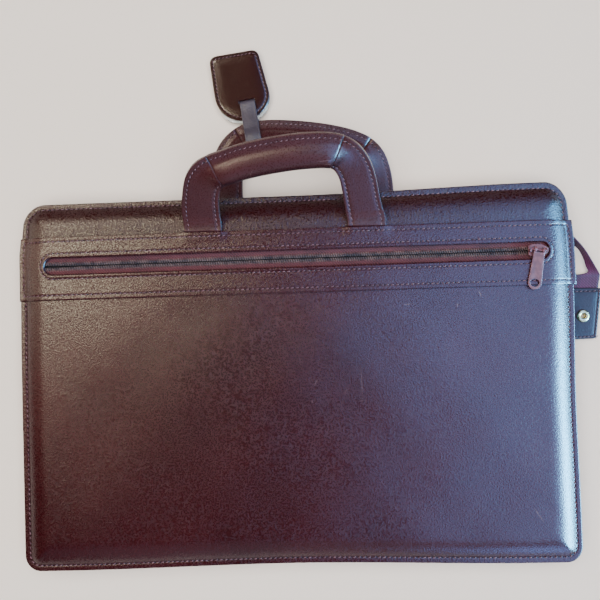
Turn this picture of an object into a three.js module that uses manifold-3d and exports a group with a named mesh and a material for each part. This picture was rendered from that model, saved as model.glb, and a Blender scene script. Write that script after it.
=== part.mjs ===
import * as THREE from 'three';
import { mergeVertices } from 'three/addons/utils/BufferGeometryUtils.js';
import Module from 'manifold-3d';

const wasm = await Module();
wasm.setup();

// Case outline, in millimetres: X across, Y towards the handles, Z up from the table
const caseHalfWidth = 209;
const caseHalfHeight = 138;
const bottomCornerRadius = 12;
const topCornerRadius = 16;
const bottomBow = 3;
const topRise = 3.2;
const topTaperLeft = 5.2;
const topTaperRight = 3;
const topTaperLength = 40;
const sideWander = 0.9;

// Leather, tape and clearances
const fitGap = 0.3;
const leather = 2;
const bandLeather = 1.9;
const backLeather = 2.2;
const tapeThickness = 1;
const gussetLeather = 1.3;

// Levels of the shell
const frontFlangeTop = 23;
const flangeWidth = 4.6;
const domeRise = 7;
const domeWidth = 18;
const domeSharpness = 2.2;
const crown = 2;
const backFlangeLift = 6;
const backDomeWidth = 19;

// Band, pocket window and pocket zip
const bandDrop = 26.1;
const bandHeight = 47.8;
const bandOverhang = 0.6;
const bandShift = 0.6;
const windowDrop = 22.3;
const windowShift = 1.6;
const windowInset = 20.9;
const windowHalfHeight = 6.2;
const chainWidth = 5;
const chainDepth = 2;
const chainBulge = 0.5;
const tapeWidth = 10.4;
const tapeOverlap = 8.9;
const tapeRecess = 0.4;

// Handles: half the distance between the legs, and how far the middle of the grip reaches
const frontHandleCentre = -3.8;
const frontHandleSpread = 61.4;
const frontHandleReach = 63.4;
const backHandleCentre = 6.7;
const backHandleSpread = 59.3;
const backHandleReach = 74;
const legWidth = 28.4;
const legThickness = 3.6;
const handleTilt = THREE.MathUtils.degToRad(42);
const handleBend = 14;
const handleRoll = 7.5;
const tongueReach = 7.4;
const tongueThickness = 1.5;
const tongueWidthShare = 0.84;
const notchPast = 3.2;
const backGripHeight = 10;

// Rim of the case: gusset and main zip
const rimInset = 6;
const flangeReach = 1.2;
const gussetFold = 2.2;
const zipReturn = 33;
const zipGussetGap = 6;
const rimChainHeight = 5.4;
const rimChainDepth = 2.4;
const rimChainProud = 0.4;
const rimTapeDrop = 3.1;
const rimSliderHeight = 8.4;
const rimSliderLength = 13;
const rimSliderDepth = 2.4;
const rimPullerLength = 28;
const rimPullerHeight = 7.2;
const rimPullerThickness = 1.5;

// Slider and puller of the pocket zip
const sliderInset = 7.9;
const sliderLength = 13.6;
const sliderWidth = 9;
const sliderPlate = 1.8;
const barHeight = 4.6;
const barRadius = 0.8;
const barSpan = 10.6;
const barFoot = 1.4;
const footDepth = 2.4;
const eyeRadius = 2;
const eyeWidth = 1.8;
const eyeSpread = 3.2;
const pullerShift = 0.5;
const pullerThickness = 1.5;
const pullerTopWidth = 7.8;
const pullerNeck = 1.6;
const pullerReach = 24.2;
const pullerRingRadius = 4.9;
const pullerHoleX = 3.4;
const pullerHoleY = 3;
const pullerLean = THREE.MathUtils.degToRad(10);
const pullerDip = THREE.MathUtils.degToRad(2.6);

// Luggage tag and its strap
const tagLean = THREE.MathUtils.degToRad(9);
const tagHalfWidth = 20.6;
const tagLength = 54.2;
const tagCentre = -3;
const tagLeather = 1.7;
const cardThickness = 1;
const cardPeek = 1.6;
const cardSidePeek = 1.2;
const tableGap = 0.4;
const strapWidth = 12;
const strapThickness = 1.5;
const strapDrop = 31.4;
const slotInset = 1.4;
const slotLength = 4.2;

// Tail of the main zip
const tailDrop = 42.8;
const tailSpread = 26.6;
const tabBottom = 1.2;
const tabThickness = 3.2;
const tabLength = 39.9;
const tabWidth = 26.8;
const tabMouthDepth = 6;
const tabMouthMargin = 0.6;
const studRadius = 4.75;
const studShank = 2.5;
const studHole = 1.7;
const studHeight = 1.35;
const studFlange = 0.5;

// Places that follow from the sizes
const bandHigh = caseHalfHeight - bandDrop;
const bandLow = bandHigh - bandHeight;
const windowCentreY = bandHigh - windowDrop;
const windowHalfLength = caseHalfWidth - windowInset;
const tapeEnd = windowHalfLength + tapeOverlap;
const zipStart = caseHalfHeight - zipReturn;
const gussetEnd = zipStart - zipGussetGap;
const bandRecess = bandLeather + fitGap;
const legRecess = legThickness + fitGap * 2.4;

function clamp01(value) {
  return Math.min(1, Math.max(0, value));
}

function smooth(value) {
  const t = clamp01(value);
  return t * t * (3 - 2 * t);
}

function mix(a, b, share) {
  return a + (b - a) * share;
}

function vec(x, y, z) {
  return new THREE.Vector3(x, y, z);
}

// Distance inwards from the case outline
function inset(x, y) {
  const radius = y > 0 ? topCornerRadius : bottomCornerRadius;
  const qx = Math.abs(x) - (caseHalfWidth - radius);
  const qy = Math.abs(y) - (caseHalfHeight - radius);
  const outside = Math.hypot(Math.max(qx, 0), Math.max(qy, 0));
  return radius - outside - Math.min(Math.max(qx, qy), 0);
}

function domeShare(distance, width) {
  const t = clamp01((distance - flangeWidth) / width);
  return 1 - Math.pow(1 - t, domeSharpness);
}

// Soft hollows of the front leather as shares of the half width, the half height and the dome's rise
const frontHollows = [
  { x: 0.61, y: -0.67, across: 0.3, along: 0.22, depth: 0.1 },
  { x: -0.46, y: -0.22, across: 0.33, along: 0.33, depth: 0.085 },
  { x: 0.19, y: 0.04, across: 0.29, along: 0.25, depth: -0.07 },
  { x: -0.72, y: -0.75, across: 0.19, along: 0.19, depth: -0.055 },
];

function frontSurface(x, y) {
  const distance = inset(x, y);
  const share = domeShare(distance, domeWidth);
  const crownShare = (1 - (x / caseHalfWidth) ** 2) * (1 - (y / caseHalfHeight) ** 2);
  let height = frontFlangeTop + domeRise * share + crown * Math.max(0, crownShare);
  for (const hollow of frontHollows) {
    const awayX = (x / caseHalfWidth - hollow.x) / hollow.across;
    const awayY = (y / caseHalfHeight - hollow.y) / hollow.along;
    height -= hollow.depth * domeRise * share * Math.exp(-awayX * awayX - awayY * awayY);
  }
  return height;
}

// The back lies flat on the table, with a recess for its band and room for the handle's legs
const legRamp = 2;

function backSurface(x, y) {
  const lift = backFlangeLift * (1 - domeShare(inset(x, y), backDomeWidth));
  let recess = 0;
  if (y > bandLow - fitGap * 1.5) {
    recess = y > bandHigh ? mix(bandRecess, legRecess, smooth((y - bandHigh) / legRamp)) : bandRecess;
  }
  return Math.max(lift, recess);
}

// Handmade outline: bowed lower edge, rising top edge, tapering top strip, sides that wander a little.
// The waves hold shares of the half height and of the wander.
const sideWaves = [
  { side: -1, y: 0.64, reach: 0.33, push: -1 },
  { side: 1, y: 0.435, reach: 0.29, push: 1 },
  { side: 1, y: -0.18, reach: 0.326, push: -0.78 },
];

function settlePoint(point) {
  const low = clamp01(-point.y / caseHalfHeight);
  const high = clamp01((point.y - bandHigh) / bandDrop);
  const taper = clamp01((point.y - caseHalfHeight) / topTaperLength + 1);
  const side = point.x / caseHalfWidth;
  const up = point.y / caseHalfHeight;
  point.y -= bottomBow * low * smooth(Math.abs(side) / 0.86);
  point.y += topRise * high * smooth((side - 0.07) / 0.84);
  point.x -= (side > 0 ? topTaperRight : topTaperLeft) * taper * side;
  for (const wave of sideWaves) {
    const share = clamp01(side * wave.side) ** 3;
    point.x += wave.side * wave.push * sideWander * share * Math.exp(-(((up - wave.y) / wave.reach) ** 2));
  }
  return point;
}

function buildGeometry(points, faces) {
  const array = new Float32Array(points.length * 3);
  points.forEach((point, i) => point.toArray(array, i * 3));
  let volume = 0;
  for (const [a, b, c] of faces) {
    volume += points[a].dot(points[b].clone().cross(points[c]));
  }
  const index = [];
  for (const [a, b, c] of faces) {
    if (volume > 0) {
      index.push(a, b, c);
    } else {
      index.push(a, c, b);
    }
  }
  const geometry = new THREE.BufferGeometry();
  geometry.setAttribute('position', new THREE.BufferAttribute(array, 3));
  geometry.setIndex(index);
  return geometry;
}

function settle(geometry) {
  const position = geometry.getAttribute('position');
  const point = vec(0, 0, 0);
  for (let i = 0; i < position.count; i += 1) {
    point.fromBufferAttribute(position, i);
    settlePoint(point);
    position.setXYZ(i, point.x, point.y, point.z);
  }
  return geometry;
}

function toSolid(geometry) {
  const bare = new THREE.BufferGeometry();
  bare.setAttribute('position', geometry.getAttribute('position').clone());
  if (geometry.index) {
    bare.setIndex(geometry.index.clone());
  }
  const merged = mergeVertices(bare, 1e-5);
  const mesh = new wasm.Mesh({
    numProp: 3,
    vertProperties: new Float32Array(merged.getAttribute('position').array),
    triVerts: new Uint32Array(merged.index.array),
  });
  return new wasm.Manifold(mesh);
}

function fromSolid(solid) {
  const mesh = solid.getMesh();
  const geometry = new THREE.BufferGeometry();
  geometry.setAttribute('position', new THREE.BufferAttribute(new Float32Array(mesh.vertProperties), 3));
  geometry.setIndex(new THREE.BufferAttribute(new Uint32Array(mesh.triVerts), 1));
  return geometry;
}

function cut(geometry, ...tools) {
  let solid = toSolid(geometry);
  for (const tool of tools) {
    solid = solid.subtract(toSolid(tool));
  }
  return fromSolid(solid);
}

function join(geometry, ...others) {
  let solid = toSolid(geometry);
  for (const other of others) {
    solid = solid.add(toSolid(other));
  }
  return fromSolid(solid);
}

function boxBetween(low, high) {
  const box = new THREE.BoxGeometry(high[0] - low[0], high[1] - low[1], high[2] - low[2]);
  box.translate((low[0] + high[0]) / 2, (low[1] + high[1]) / 2, (low[2] + high[2]) / 2);
  return box;
}

function prism(outline, low, high) {
  const shape = new THREE.Shape(outline.map(([x, y]) => new THREE.Vector2(x, y)));
  const geometry = new THREE.ExtrudeGeometry(shape, { depth: high - low, bevelEnabled: false });
  geometry.translate(0, 0, low);
  return geometry;
}

// A sheet between two height functions over rows that may narrow at rounded corners
function sheetSolid(rows, columns, halfWidthAt, upper, lower) {
  const points = [];
  const faces = [];
  const wide = columns.length;
  const layer = rows.length * wide;
  for (const height of [upper, lower]) {
    for (const y of rows) {
      for (const share of columns) {
        const x = halfWidthAt(y) * share;
        points.push(vec(x, y, height(x, y)));
      }
    }
  }
  const quad = (a, b, c, d) => faces.push([a, b, c], [a, c, d]);
  for (let r = 0; r + 1 < rows.length; r += 1) {
    for (let c = 0; c + 1 < wide; c += 1) {
      const i = r * wide + c;
      quad(i, i + 1, i + wide + 1, i + wide);
      quad(layer + i, layer + i + wide, layer + i + wide + 1, layer + i + 1);
    }
    const left = r * wide;
    const right = left + wide - 1;
    quad(left, left + wide, layer + left + wide, layer + left);
    quad(right, layer + right, layer + right + wide, right + wide);
  }
  for (let c = 0; c + 1 < wide; c += 1) {
    const last = (rows.length - 1) * wide + c;
    quad(c, layer + c, layer + c + 1, c + 1);
    quad(last, last + 1, layer + last + 1, layer + last);
  }
  return buildGeometry(points, faces);
}

// A solid through rings of points, open with caps or joined end to end
function ringSolid(rings, closed, capFaces) {
  const points = rings.flat();
  const count = rings[0].length;
  const faces = [];
  const total = closed ? rings.length : rings.length - 1;
  for (let r = 0; r < total; r += 1) {
    const here = r * count;
    const next = ((r + 1) % rings.length) * count;
    for (let i = 0; i < count; i += 1) {
      const j = (i + 1) % count;
      faces.push([here + i, here + j, next + j], [here + i, next + j, next + i]);
    }
  }
  if (!closed) {
    const end = (rings.length - 1) * count;
    for (const [a, b, c] of capFaces) {
      faces.push([a, c, b], [end + a, end + b, end + c]);
    }
  }
  return buildGeometry(points, faces);
}

function capOf(profile) {
  const outline = profile.map(([x, y]) => new THREE.Vector2(x, y));
  const faces = THREE.ShapeUtils.triangulateShape(outline, []);
  return THREE.ShapeUtils.isClockWise(outline) ? faces.map(([a, b, c]) => [a, c, b]) : faces;
}

function fanCap(count) {
  const faces = [];
  for (let i = 1; i + 1 < count; i += 1) {
    faces.push([0, i, i + 1]);
  }
  return faces;
}

// Distances from an edge inwards: flange, dome in even steps of its width, then on to the middle
function edgeSteps(domeShares, width, middleShares, half) {
  const domeEnd = flangeWidth + width;
  const dome = domeShares.map((share) => flangeWidth + width * share);
  const rest = middleShares.map((share) => mix(domeEnd, half, share));
  return [...dome, ...rest];
}

const fineDome = [0, 0.1, 0.23, 0.41, 0.69, 1];
const coarseDome = [0, 0.18, 0.44, 1];

// Columns of the panels as shares of the half width, closer together near the sides
function shareColumns(edgeDistances, halfWidth) {
  const positive = edgeDistances.map((distance) => (halfWidth - distance) / halfWidth);
  const negative = positive.map((share) => -share);
  return [...negative, 0, ...positive.reverse()];
}

function cornerHalfWidth(y) {
  const radius = y > 0 ? topCornerRadius : bottomCornerRadius;
  const into = Math.abs(y) - (caseHalfHeight - radius);
  const narrowing = into > 0 ? radius - Math.sqrt(Math.max(0, radius * radius - into * into)) : 0;
  return caseHalfWidth - narrowing;
}

function cornerRows(radius, steps) {
  const rows = [];
  for (let i = 0; i <= steps; i += 1) {
    rows.push(caseHalfHeight - radius * (1 - Math.cos((Math.PI / 2) * (i / steps))));
  }
  return rows;
}

const frontMiddle = [0.09, 0.26, 0.51, 0.77];
const frontColumns = shareColumns([0, ...edgeSteps(fineDome, domeWidth, frontMiddle, caseHalfWidth)], caseHalfWidth);
const backColumns = shareColumns([0, ...edgeSteps(coarseDome, backDomeWidth, [0.25, 0.63], caseHalfWidth)], caseHalfWidth);
const lowerCorner = cornerRows(bottomCornerRadius, 4).map((y) => -y);
const upperCorner = cornerRows(topCornerRadius, 4).reverse();

function sortedRows(...lists) {
  return [...new Set(lists.flat())].sort((a, b) => a - b);
}

const chainLow = windowCentreY - chainWidth / 2;
const chainHigh = windowCentreY + chainWidth / 2;
const wellLow = chainLow - tapeWidth;
const wellHigh = chainHigh + tapeWidth;
const pocketStepShares = [0, 0.025, 0.056, 0.14, 0.3, 0.54, 0.78];
const pocketColumns = shareColumns(pocketStepShares.map((share) => share * tapeEnd), tapeEnd);

// Where each handle leg meets the case
const frontLegCentres = [frontHandleCentre - frontHandleSpread, frontHandleCentre + frontHandleSpread];
const backLegCentres = [backHandleCentre - backHandleSpread, backHandleCentre + backHandleSpread];

function legNotches(centres, low, high) {
  const half = (legWidth * tongueWidthShare) / 2 + fitGap;
  return centres.map((centre) =>
    boxBetween(
      [centre - half, bandHigh - tongueReach - fitGap, low],
      [centre + half, bandHigh + notchPast, high],
    ),
  );
}

function buildFrontPanel() {
  const edgeRows = edgeSteps([0.06, 0.23, 0.69, 1], domeWidth, [0.18, 0.44, 0.74], caseHalfHeight);
  const rows = sortedRows(
    lowerCorner,
    edgeRows.map((distance) => distance - caseHalfHeight),
    [0, bandLow * 0.5, bandLow * 0.84, wellLow - fitGap, mix(wellLow, wellHigh, 0.92), wellHigh],
  );
  const panel = sheetSolid(rows, frontColumns, cornerHalfWidth, frontSurface, (x, y) => frontSurface(x, y) - leather);
  const reach = tapeEnd + fitGap;
  const well = boxBetween([-reach, wellLow - fitGap, 0], [reach, caseHalfHeight, frontFlangeTop * 2]);
  return settle(cut(panel, well));
}

function buildTopStrip() {
  const rows = sortedRows(
    upperCorner,
    [wellHigh + fitGap, bandHigh, bandHigh + notchPast],
    edgeSteps([0.06, 0.23, 0.44, 0.69], domeWidth, [], caseHalfHeight).map((distance) => caseHalfHeight - distance),
  );
  const strip = sheetSolid(rows, frontColumns, cornerHalfWidth, frontSurface, (x, y) => frontSurface(x, y) - leather);
  return settle(cut(strip, ...legNotches(frontLegCentres, frontFlangeTop, frontFlangeTop * 2)));
}

function stadium(centreX, centreY, halfLength, halfHeight, steps) {
  const outline = [];
  for (let i = 0; i <= steps; i += 1) {
    const angle = -Math.PI / 2 + (Math.PI * i) / steps;
    const reach = halfLength - halfHeight;
    outline.push([centreX + reach + halfHeight * Math.cos(angle), centreY + halfHeight * Math.sin(angle)]);
  }
  const flipped = outline.map(([x, y]) => [2 * centreX - x, 2 * centreY - y]);
  return [...outline, ...flipped];
}

function buildPocketBand() {
  const low = bandRecess - bandLeather;
  const half = caseHalfWidth + bandOverhang;
  const steps = edgeSteps(fineDome, domeWidth, frontMiddle, caseHalfWidth).map((distance) => distance + bandOverhang);
  const rows = [0, 0.05, 0.22, 0.5, 0.78, 0.95, 1].map((share) => mix(bandLow, bandHigh, share));
  const band = sheetSolid(
    rows,
    shareColumns([0, ...steps], half),
    () => half,
    (x, y) => frontSurface(x + bandShift, y) + bandRecess,
    (x, y) => frontSurface(x + bandShift, y) + low,
  );
  band.translate(bandShift, 0, 0);
  const outline = stadium(windowShift, windowCentreY, windowHalfLength, windowHalfHeight, 8);
  return settle(cut(band, prism(outline, frontFlangeTop, frontFlangeTop * 2)));
}

function buildBackPanel() {
  const edgeRows = edgeSteps(coarseDome, backDomeWidth, [0.4], caseHalfHeight);
  const rows = sortedRows(
    lowerCorner,
    upperCorner,
    edgeRows.map((distance) => distance - caseHalfHeight),
    [0, bandLow - fitGap * 3, bandLow - fitGap, bandHigh, bandHigh + legRamp / 2, bandHigh + legRamp],
    edgeRows.slice(1, 3).map((distance) => caseHalfHeight - distance),
  );
  const panel = sheetSolid(rows, backColumns, cornerHalfWidth, (x, y) => backSurface(x, y) + backLeather, backSurface);
  return settle(cut(panel, ...legNotches(backLegCentres, 0, frontFlangeTop)));
}

function buildBackBand() {
  const rows = [bandLow, mix(bandLow, bandHigh, 0.5), bandHigh];
  const low = (x, y) => Math.max(0, backSurface(x, y) - bandRecess);
  const band = sheetSolid(rows, backColumns, () => caseHalfWidth, (x, y) => low(x, y) + bandLeather, low);
  return settle(band);
}

function buildPocketTape(from, to) {
  const top = (x, y) => frontSurface(x, y) - tapeRecess;
  return settle(sheetSolid([from, to], pocketColumns, () => tapeEnd, top, (x, y) => top(x, y) - tapeThickness));
}

function buildPocketChain() {
  const half = chainWidth / 2;
  const top = (x, y) => frontSurface(x, y) - (Math.abs(y - windowCentreY) / half) * chainBulge;
  const rows = [chainLow + fitGap, windowCentreY, chainHigh - fitGap];
  return settle(sheetSolid(rows, pocketColumns, () => tapeEnd, top, (x, y) => frontSurface(x, y) - chainDepth));
}

// Stations round the rim, each a point on the outline with its outward direction
function rimArc(signX, signY, radius, steps, fromSide) {
  const stations = [];
  for (let i = 0; i <= steps; i += 1) {
    const share = fromSide ? i / steps : 1 - i / steps;
    const angle = (Math.PI / 2) * share;
    const normalX = signX * Math.cos(angle);
    const normalY = signY * Math.sin(angle);
    stations.push({
      x: signX * (caseHalfWidth - radius) + radius * normalX,
      y: signY * (caseHalfHeight - radius) + radius * normalY,
      normalX,
      normalY,
    });
  }
  return stations;
}

function sideStations(signX, ys) {
  return ys.map((y) => ({ x: signX * caseHalfWidth, y, normalX: signX, normalY: 0 }));
}

function edgeStations(signY, shares) {
  const reach = caseHalfWidth - topCornerRadius;
  return shares.map((share) => ({ x: reach * share, y: signY * caseHalfHeight, normalX: 0, normalY: signY }));
}

const edgeShares = [-0.72, -0.45, -0.18, 0.1, 0.32, 0.54, 0.77];
const gussetSides = [0.29, -0.22, -0.65].map((share) => share * caseHalfHeight);
const gussetRoute = [
  ...sideStations(-1, [gussetEnd, ...gussetSides]),
  ...rimArc(-1, -1, bottomCornerRadius, 4, true),
  ...edgeStations(-1, edgeShares),
  ...rimArc(1, -1, bottomCornerRadius, 4, false),
  ...sideStations(1, [...[...gussetSides].reverse(), gussetEnd]),
];
const zipRoute = [
  ...sideStations(-1, [zipStart]),
  ...rimArc(-1, 1, topCornerRadius, 5, true),
  ...edgeStations(1, edgeShares),
  ...rimArc(1, 1, topCornerRadius, 5, false),
  ...sideStations(1, [zipStart]),
];

function rimSolid(route, profile) {
  const rings = route.map((station) =>
    profile.map(([distance, z]) =>
      vec(station.x - station.normalX * distance, station.y - station.normalY * distance, z),
    ),
  );
  return settle(ringSolid(rings, false, capOf(profile)));
}

const rimTop = frontFlangeTop - leather - fitGap;
const rimBottom = backFlangeLift + backLeather + fitGap;
const rimMiddle = (rimTop + rimBottom) / 2;

function buildGusset() {
  return rimSolid(gussetRoute, [
    [flangeReach, rimTop],
    [flangeReach, rimTop - gussetLeather],
    [rimInset, rimTop - gussetLeather],
    [rimInset + gussetFold, rimMiddle],
    [rimInset, rimBottom + gussetLeather],
    [flangeReach, rimBottom + gussetLeather],
    [flangeReach, rimBottom],
    [rimInset + gussetLeather, rimBottom],
    [rimInset + gussetLeather + gussetFold, rimMiddle],
    [rimInset + gussetLeather, rimTop],
  ]);
}

function rimTapeProfile(edge, direction) {
  return [
    [flangeReach, edge],
    [flangeReach, edge + direction * tapeThickness],
    [rimInset, edge + direction * tapeThickness],
    [rimInset, edge + direction * rimTapeDrop],
    [rimInset + tapeThickness, edge + direction * rimTapeDrop],
    [rimInset + tapeThickness, edge],
  ];
}

const rimChainNear = rimInset - rimChainProud;

function buildRimChain() {
  const half = rimChainHeight / 2;
  const shoulder = half * 0.6;
  const near = rimChainNear;
  const far = near + rimChainDepth;
  const round = rimChainDepth / 4;
  return rimSolid(zipRoute, [
    [near, rimMiddle - shoulder],
    [near + round, rimMiddle - half],
    [far - round, rimMiddle - half],
    [far, rimMiddle - shoulder],
    [far, rimMiddle + shoulder],
    [far - round, rimMiddle + half],
    [near + round, rimMiddle + half],
    [near, rimMiddle + shoulder],
  ]);
}

// The hidden main slider rests outside the chain at the closed end, its puller along the gusset
function buildRimSlider() {
  const inner = rimChainNear - fitGap - caseHalfWidth;
  const outer = inner - rimSliderDepth;
  const half = rimSliderHeight / 2;
  const low = zipStart - rimSliderLength * 0.3;
  const body = boxBetween([outer, low, rimMiddle - half], [inner, low + rimSliderLength, rimMiddle + half]);
  const plate = boxBetween(
    [outer, low - rimPullerLength, rimMiddle - rimPullerHeight / 2],
    [outer + rimPullerThickness, zipStart, rimMiddle + rimPullerHeight / 2],
  );
  return settle(join(body, plate));
}

// Handle stations: centre across and along as shares of the handle's spread and reach, width as a share
// of the leg's width, lift as a share of the grip's height; full is how far the section has swelled from
// flat leather to the padded roll, seam marks the grip's ends and strap where the tag hangs
const frontHandle = [
  { across: -1, along: 0.079, width: 1, full: 0 },
  { across: -1.01, along: 0.189, width: 1.007, full: 0 },
  { across: -1.007, along: 0.331, width: 0.993, full: 0 },
  { across: -0.987, along: 0.481, width: 0.965, full: 0.05 },
  { across: -0.941, along: 0.628, width: 0.965, full: 0.3 },
  { across: -0.863, along: 0.729, width: 0.965, full: 0.65 },
  { across: -0.762, along: 0.789, width: 0.937, full: 0.92, seam: true },
  { across: -0.622, along: 0.836, width: 0.93, full: 1 },
  { across: -0.41, along: 0.899, width: 0.951, full: 1 },
  { across: -0.101, along: 0.956, width: 0.958, full: 1 },
  { across: 0.192, along: 0.991, width: 0.958, full: 1 },
  { across: 0.42, along: 1, width: 0.951, full: 1 },
  { across: 0.567, along: 0.992, width: 0.937, full: 1 },
  { across: 0.668, along: 0.967, width: 0.93, full: 0.92, seam: true },
  { across: 0.762, along: 0.905, width: 0.915, full: 0.65 },
  { across: 0.837, along: 0.804, width: 0.901, full: 0.35 },
  { across: 0.889, along: 0.678, width: 0.901, full: 0.12 },
  { across: 0.925, along: 0.521, width: 0.915, full: 0.02 },
  { across: 0.951, along: 0.347, width: 0.937, full: 0 },
  { across: 0.977, along: 0.189, width: 0.965, full: 0 },
  { across: 1, along: 0.079, width: 1, full: 0 },
];
const backHandle = [
  { across: -1, along: 0.068, width: 1, lift: 0, full: 0 },
  { across: -1, along: 0.243, width: 0.972, lift: 0, full: 0 },
  { across: -0.993, along: 0.405, width: 0.958, lift: 0, full: 0 },
  { across: -0.98, along: 0.541, width: 0.944, lift: 0.35, full: 0.05 },
  { across: -0.953, along: 0.662, width: 0.93, lift: 0.75, full: 0.2 },
  { across: -0.902, along: 0.776, width: 0.923, lift: 1, full: 0.45 },
  { across: -0.828, along: 0.873, width: 0.93, lift: 1, full: 0.75 },
  { across: -0.72, along: 0.946, width: 0.944, lift: 1, full: 0.92, seam: true },
  { across: -0.562, along: 0.989, width: 0.951, lift: 1, full: 1, strap: true },
  { across: -0.383, along: 1, width: 0.958, lift: 1, full: 1 },
  { across: -0.079, along: 0.986, width: 0.958, lift: 1, full: 1 },
  { across: 0.191, along: 0.959, width: 0.958, lift: 1, full: 1 },
  { across: 0.427, along: 0.924, width: 0.951, lift: 1, full: 1 },
  { across: 0.656, along: 0.87, width: 0.951, lift: 1, full: 1 },
  { across: 0.831, along: 0.795, width: 0.944, lift: 1, full: 0.92, seam: true },
  { across: 0.922, along: 0.703, width: 0.944, lift: 0.95, full: 0.6 },
  { across: 0.973, along: 0.589, width: 0.944, lift: 0.55, full: 0.15 },
  { across: 0.993, along: 0.473, width: 0.951, lift: 0.2, full: 0 },
  { across: 0.998, along: 0.351, width: 0.965, lift: 0, full: 0 },
  { across: 1, along: 0.203, width: 0.979, lift: 0, full: 0 },
  { across: 1, along: 0.068, width: 1, lift: 0, full: 0 },
];

// Half section of a handle from its inner edge to its stitched outer edge, as shares of half its width,
// of the roll's radius and of half the leg's thickness
const handleSection = [
  { across: -1, roll: 0.08, flat: 0.42 },
  { across: -0.93, roll: 0.46, flat: 0.8 },
  { across: -0.75, roll: 0.8, flat: 0.96 },
  { across: -0.45, roll: 1, flat: 1 },
  { across: -0.1, roll: 0.95, flat: 1 },
  { across: 0.2, roll: 0.68, flat: 1 },
  { across: 0.42, roll: 0.36, flat: 1 },
  { across: 0.62, roll: 0.25, flat: 0.96 },
  { across: 0.95, roll: 0.21, flat: 0.84 },
  { across: 1, roll: 0.1, flat: 0.42 },
];
const legHalf = legThickness / 2;

function sectionRing(fullness) {
  const upper = handleSection.map((point) => [
    point.across,
    mix(point.flat * legHalf, point.roll * handleRoll, fullness),
  ]);
  const lower = upper.map(([across, height]) => [across, -height]).reverse();
  return [...upper, ...lower];
}

// Points of a handle plane: across, along the plane from the band's edge, height above the plane
function raisedPoint(across, along, height, base) {
  const turned = handleTilt * clamp01(along / handleBend);
  const radius = handleBend / handleTilt;
  const past = Math.max(0, along - handleBend);
  let y = along;
  let z = 0;
  if (along > 0) {
    y = radius * Math.sin(turned) + past * Math.cos(handleTilt);
    z = radius * (1 - Math.cos(turned)) + past * Math.sin(handleTilt);
  }
  y -= height * Math.sin(turned);
  z += height * Math.cos(turned);
  return vec(across, bandHigh + y, base + z);
}

function flatPoint(across, along, height, base) {
  return vec(across, bandHigh + along, base - height);
}

function buildHandle(table, sizes) {
  const { centre, spread, reach, place, base, tongueBase, liftHeight } = sizes;
  const stations = table.map((row) => ({
    across: centre + row.across * spread,
    along: row.along * reach,
    width: row.width * legWidth,
    lift: (row.lift ?? 0) * liftHeight,
    full: row.full,
  }));
  const seams = table.flatMap((row, i) => (row.seam ? [i] : []));
  const tangents = stations.map((station, i) => {
    const before = stations[Math.max(0, i - 1)];
    const after = stations[Math.min(stations.length - 1, i + 1)];
    return new THREE.Vector2(after.across - before.across, after.along - before.along).normalize();
  });
  const ringAt = (i, shift) => {
    const station = stations[i];
    const tangent = tangents[i];
    const half = station.width / 2;
    const centreAcross = station.across + tangent.x * shift;
    const centreAlong = station.along + tangent.y * shift;
    return sectionRing(station.full).map(([across, height]) =>
      place(
        centreAcross - tangent.y * across * half,
        centreAlong + tangent.x * across * half,
        height - station.lift,
        base,
      ),
    );
  };
  // The leg thins to a tongue that passes through the case leather and lies under the band
  const tongueRings = (i) => {
    const half = (legWidth / 2) * Math.sign(tangents[i].y);
    const steps = [
      { along: -tongueReach, wide: tongueWidthShare, low: tongueBase, thick: tongueThickness },
      { along: -notchPast * 0.2, wide: tongueWidthShare, low: tongueBase, thick: tongueThickness },
      { along: notchPast * 0.12, wide: tongueWidthShare, low: tongueBase, thick: tongueThickness },
      { along: notchPast * 0.31, wide: tongueWidthShare, low: tongueBase, thick: tongueThickness * 2.3 },
      { along: notchPast * 0.65, wide: tongueWidthShare, low: -legHalf * 0.92, thick: legHalf * 1.92 },
      { along: notchPast * 1.06, wide: 0.98, low: -legHalf * 0.92, thick: legHalf * 1.92 },
    ];
    return steps.map((step) =>
      sectionRing(0).map(([across, height]) =>
        place(
          stations[i].across - across * half * step.wide,
          step.along,
          step.low + step.thick * (height / legHalf / 2 + 0.5),
          base,
        ),
      ),
    );
  };
  const cap = fanCap(sectionRing(0).length);
  const gap = fitGap / 2;
  const last = stations.length - 1;
  const leftRings = tongueRings(0);
  for (let i = 0; i <= seams[0]; i += 1) {
    leftRings.push(ringAt(i, i === seams[0] ? -gap : 0));
  }
  const gripRings = [];
  for (let i = seams[0]; i <= seams[1]; i += 1) {
    const shift = i === seams[0] ? gap : i === seams[1] ? -gap : 0;
    gripRings.push(ringAt(i, shift));
  }
  const rightRings = [];
  for (let i = seams[1]; i <= last; i += 1) {
    rightRings.push(ringAt(i, i === seams[1] ? gap : 0));
  }
  rightRings.push(...tongueRings(last).reverse());
  return {
    left: settle(ringSolid(leftRings, false, cap)),
    grip: settle(ringSolid(gripRings, false, cap)),
    right: settle(ringSolid(rightRings, false, cap)),
  };
}

const stripLevel = frontSurface(0, bandHigh);
const tongueClear = 0.1;
const frontHandleBase = stripLevel + fitGap + legHalf - tongueClear;
const frontParts = buildHandle(frontHandle, {
  centre: frontHandleCentre,
  spread: frontHandleSpread,
  reach: frontHandleReach,
  place: raisedPoint,
  base: frontHandleBase,
  tongueBase: stripLevel - leather + tongueClear - frontHandleBase,
  liftHeight: 0,
});
const backHandleBase = fitGap + legHalf;
const backParts = buildHandle(backHandle, {
  centre: backHandleCentre,
  spread: backHandleSpread,
  reach: backHandleReach,
  place: flatPoint,
  base: backHandleBase,
  tongueBase: backHandleBase - (bandRecess + backLeather) + tongueClear,
  liftHeight: backGripHeight - backHandleBase,
});

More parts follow.
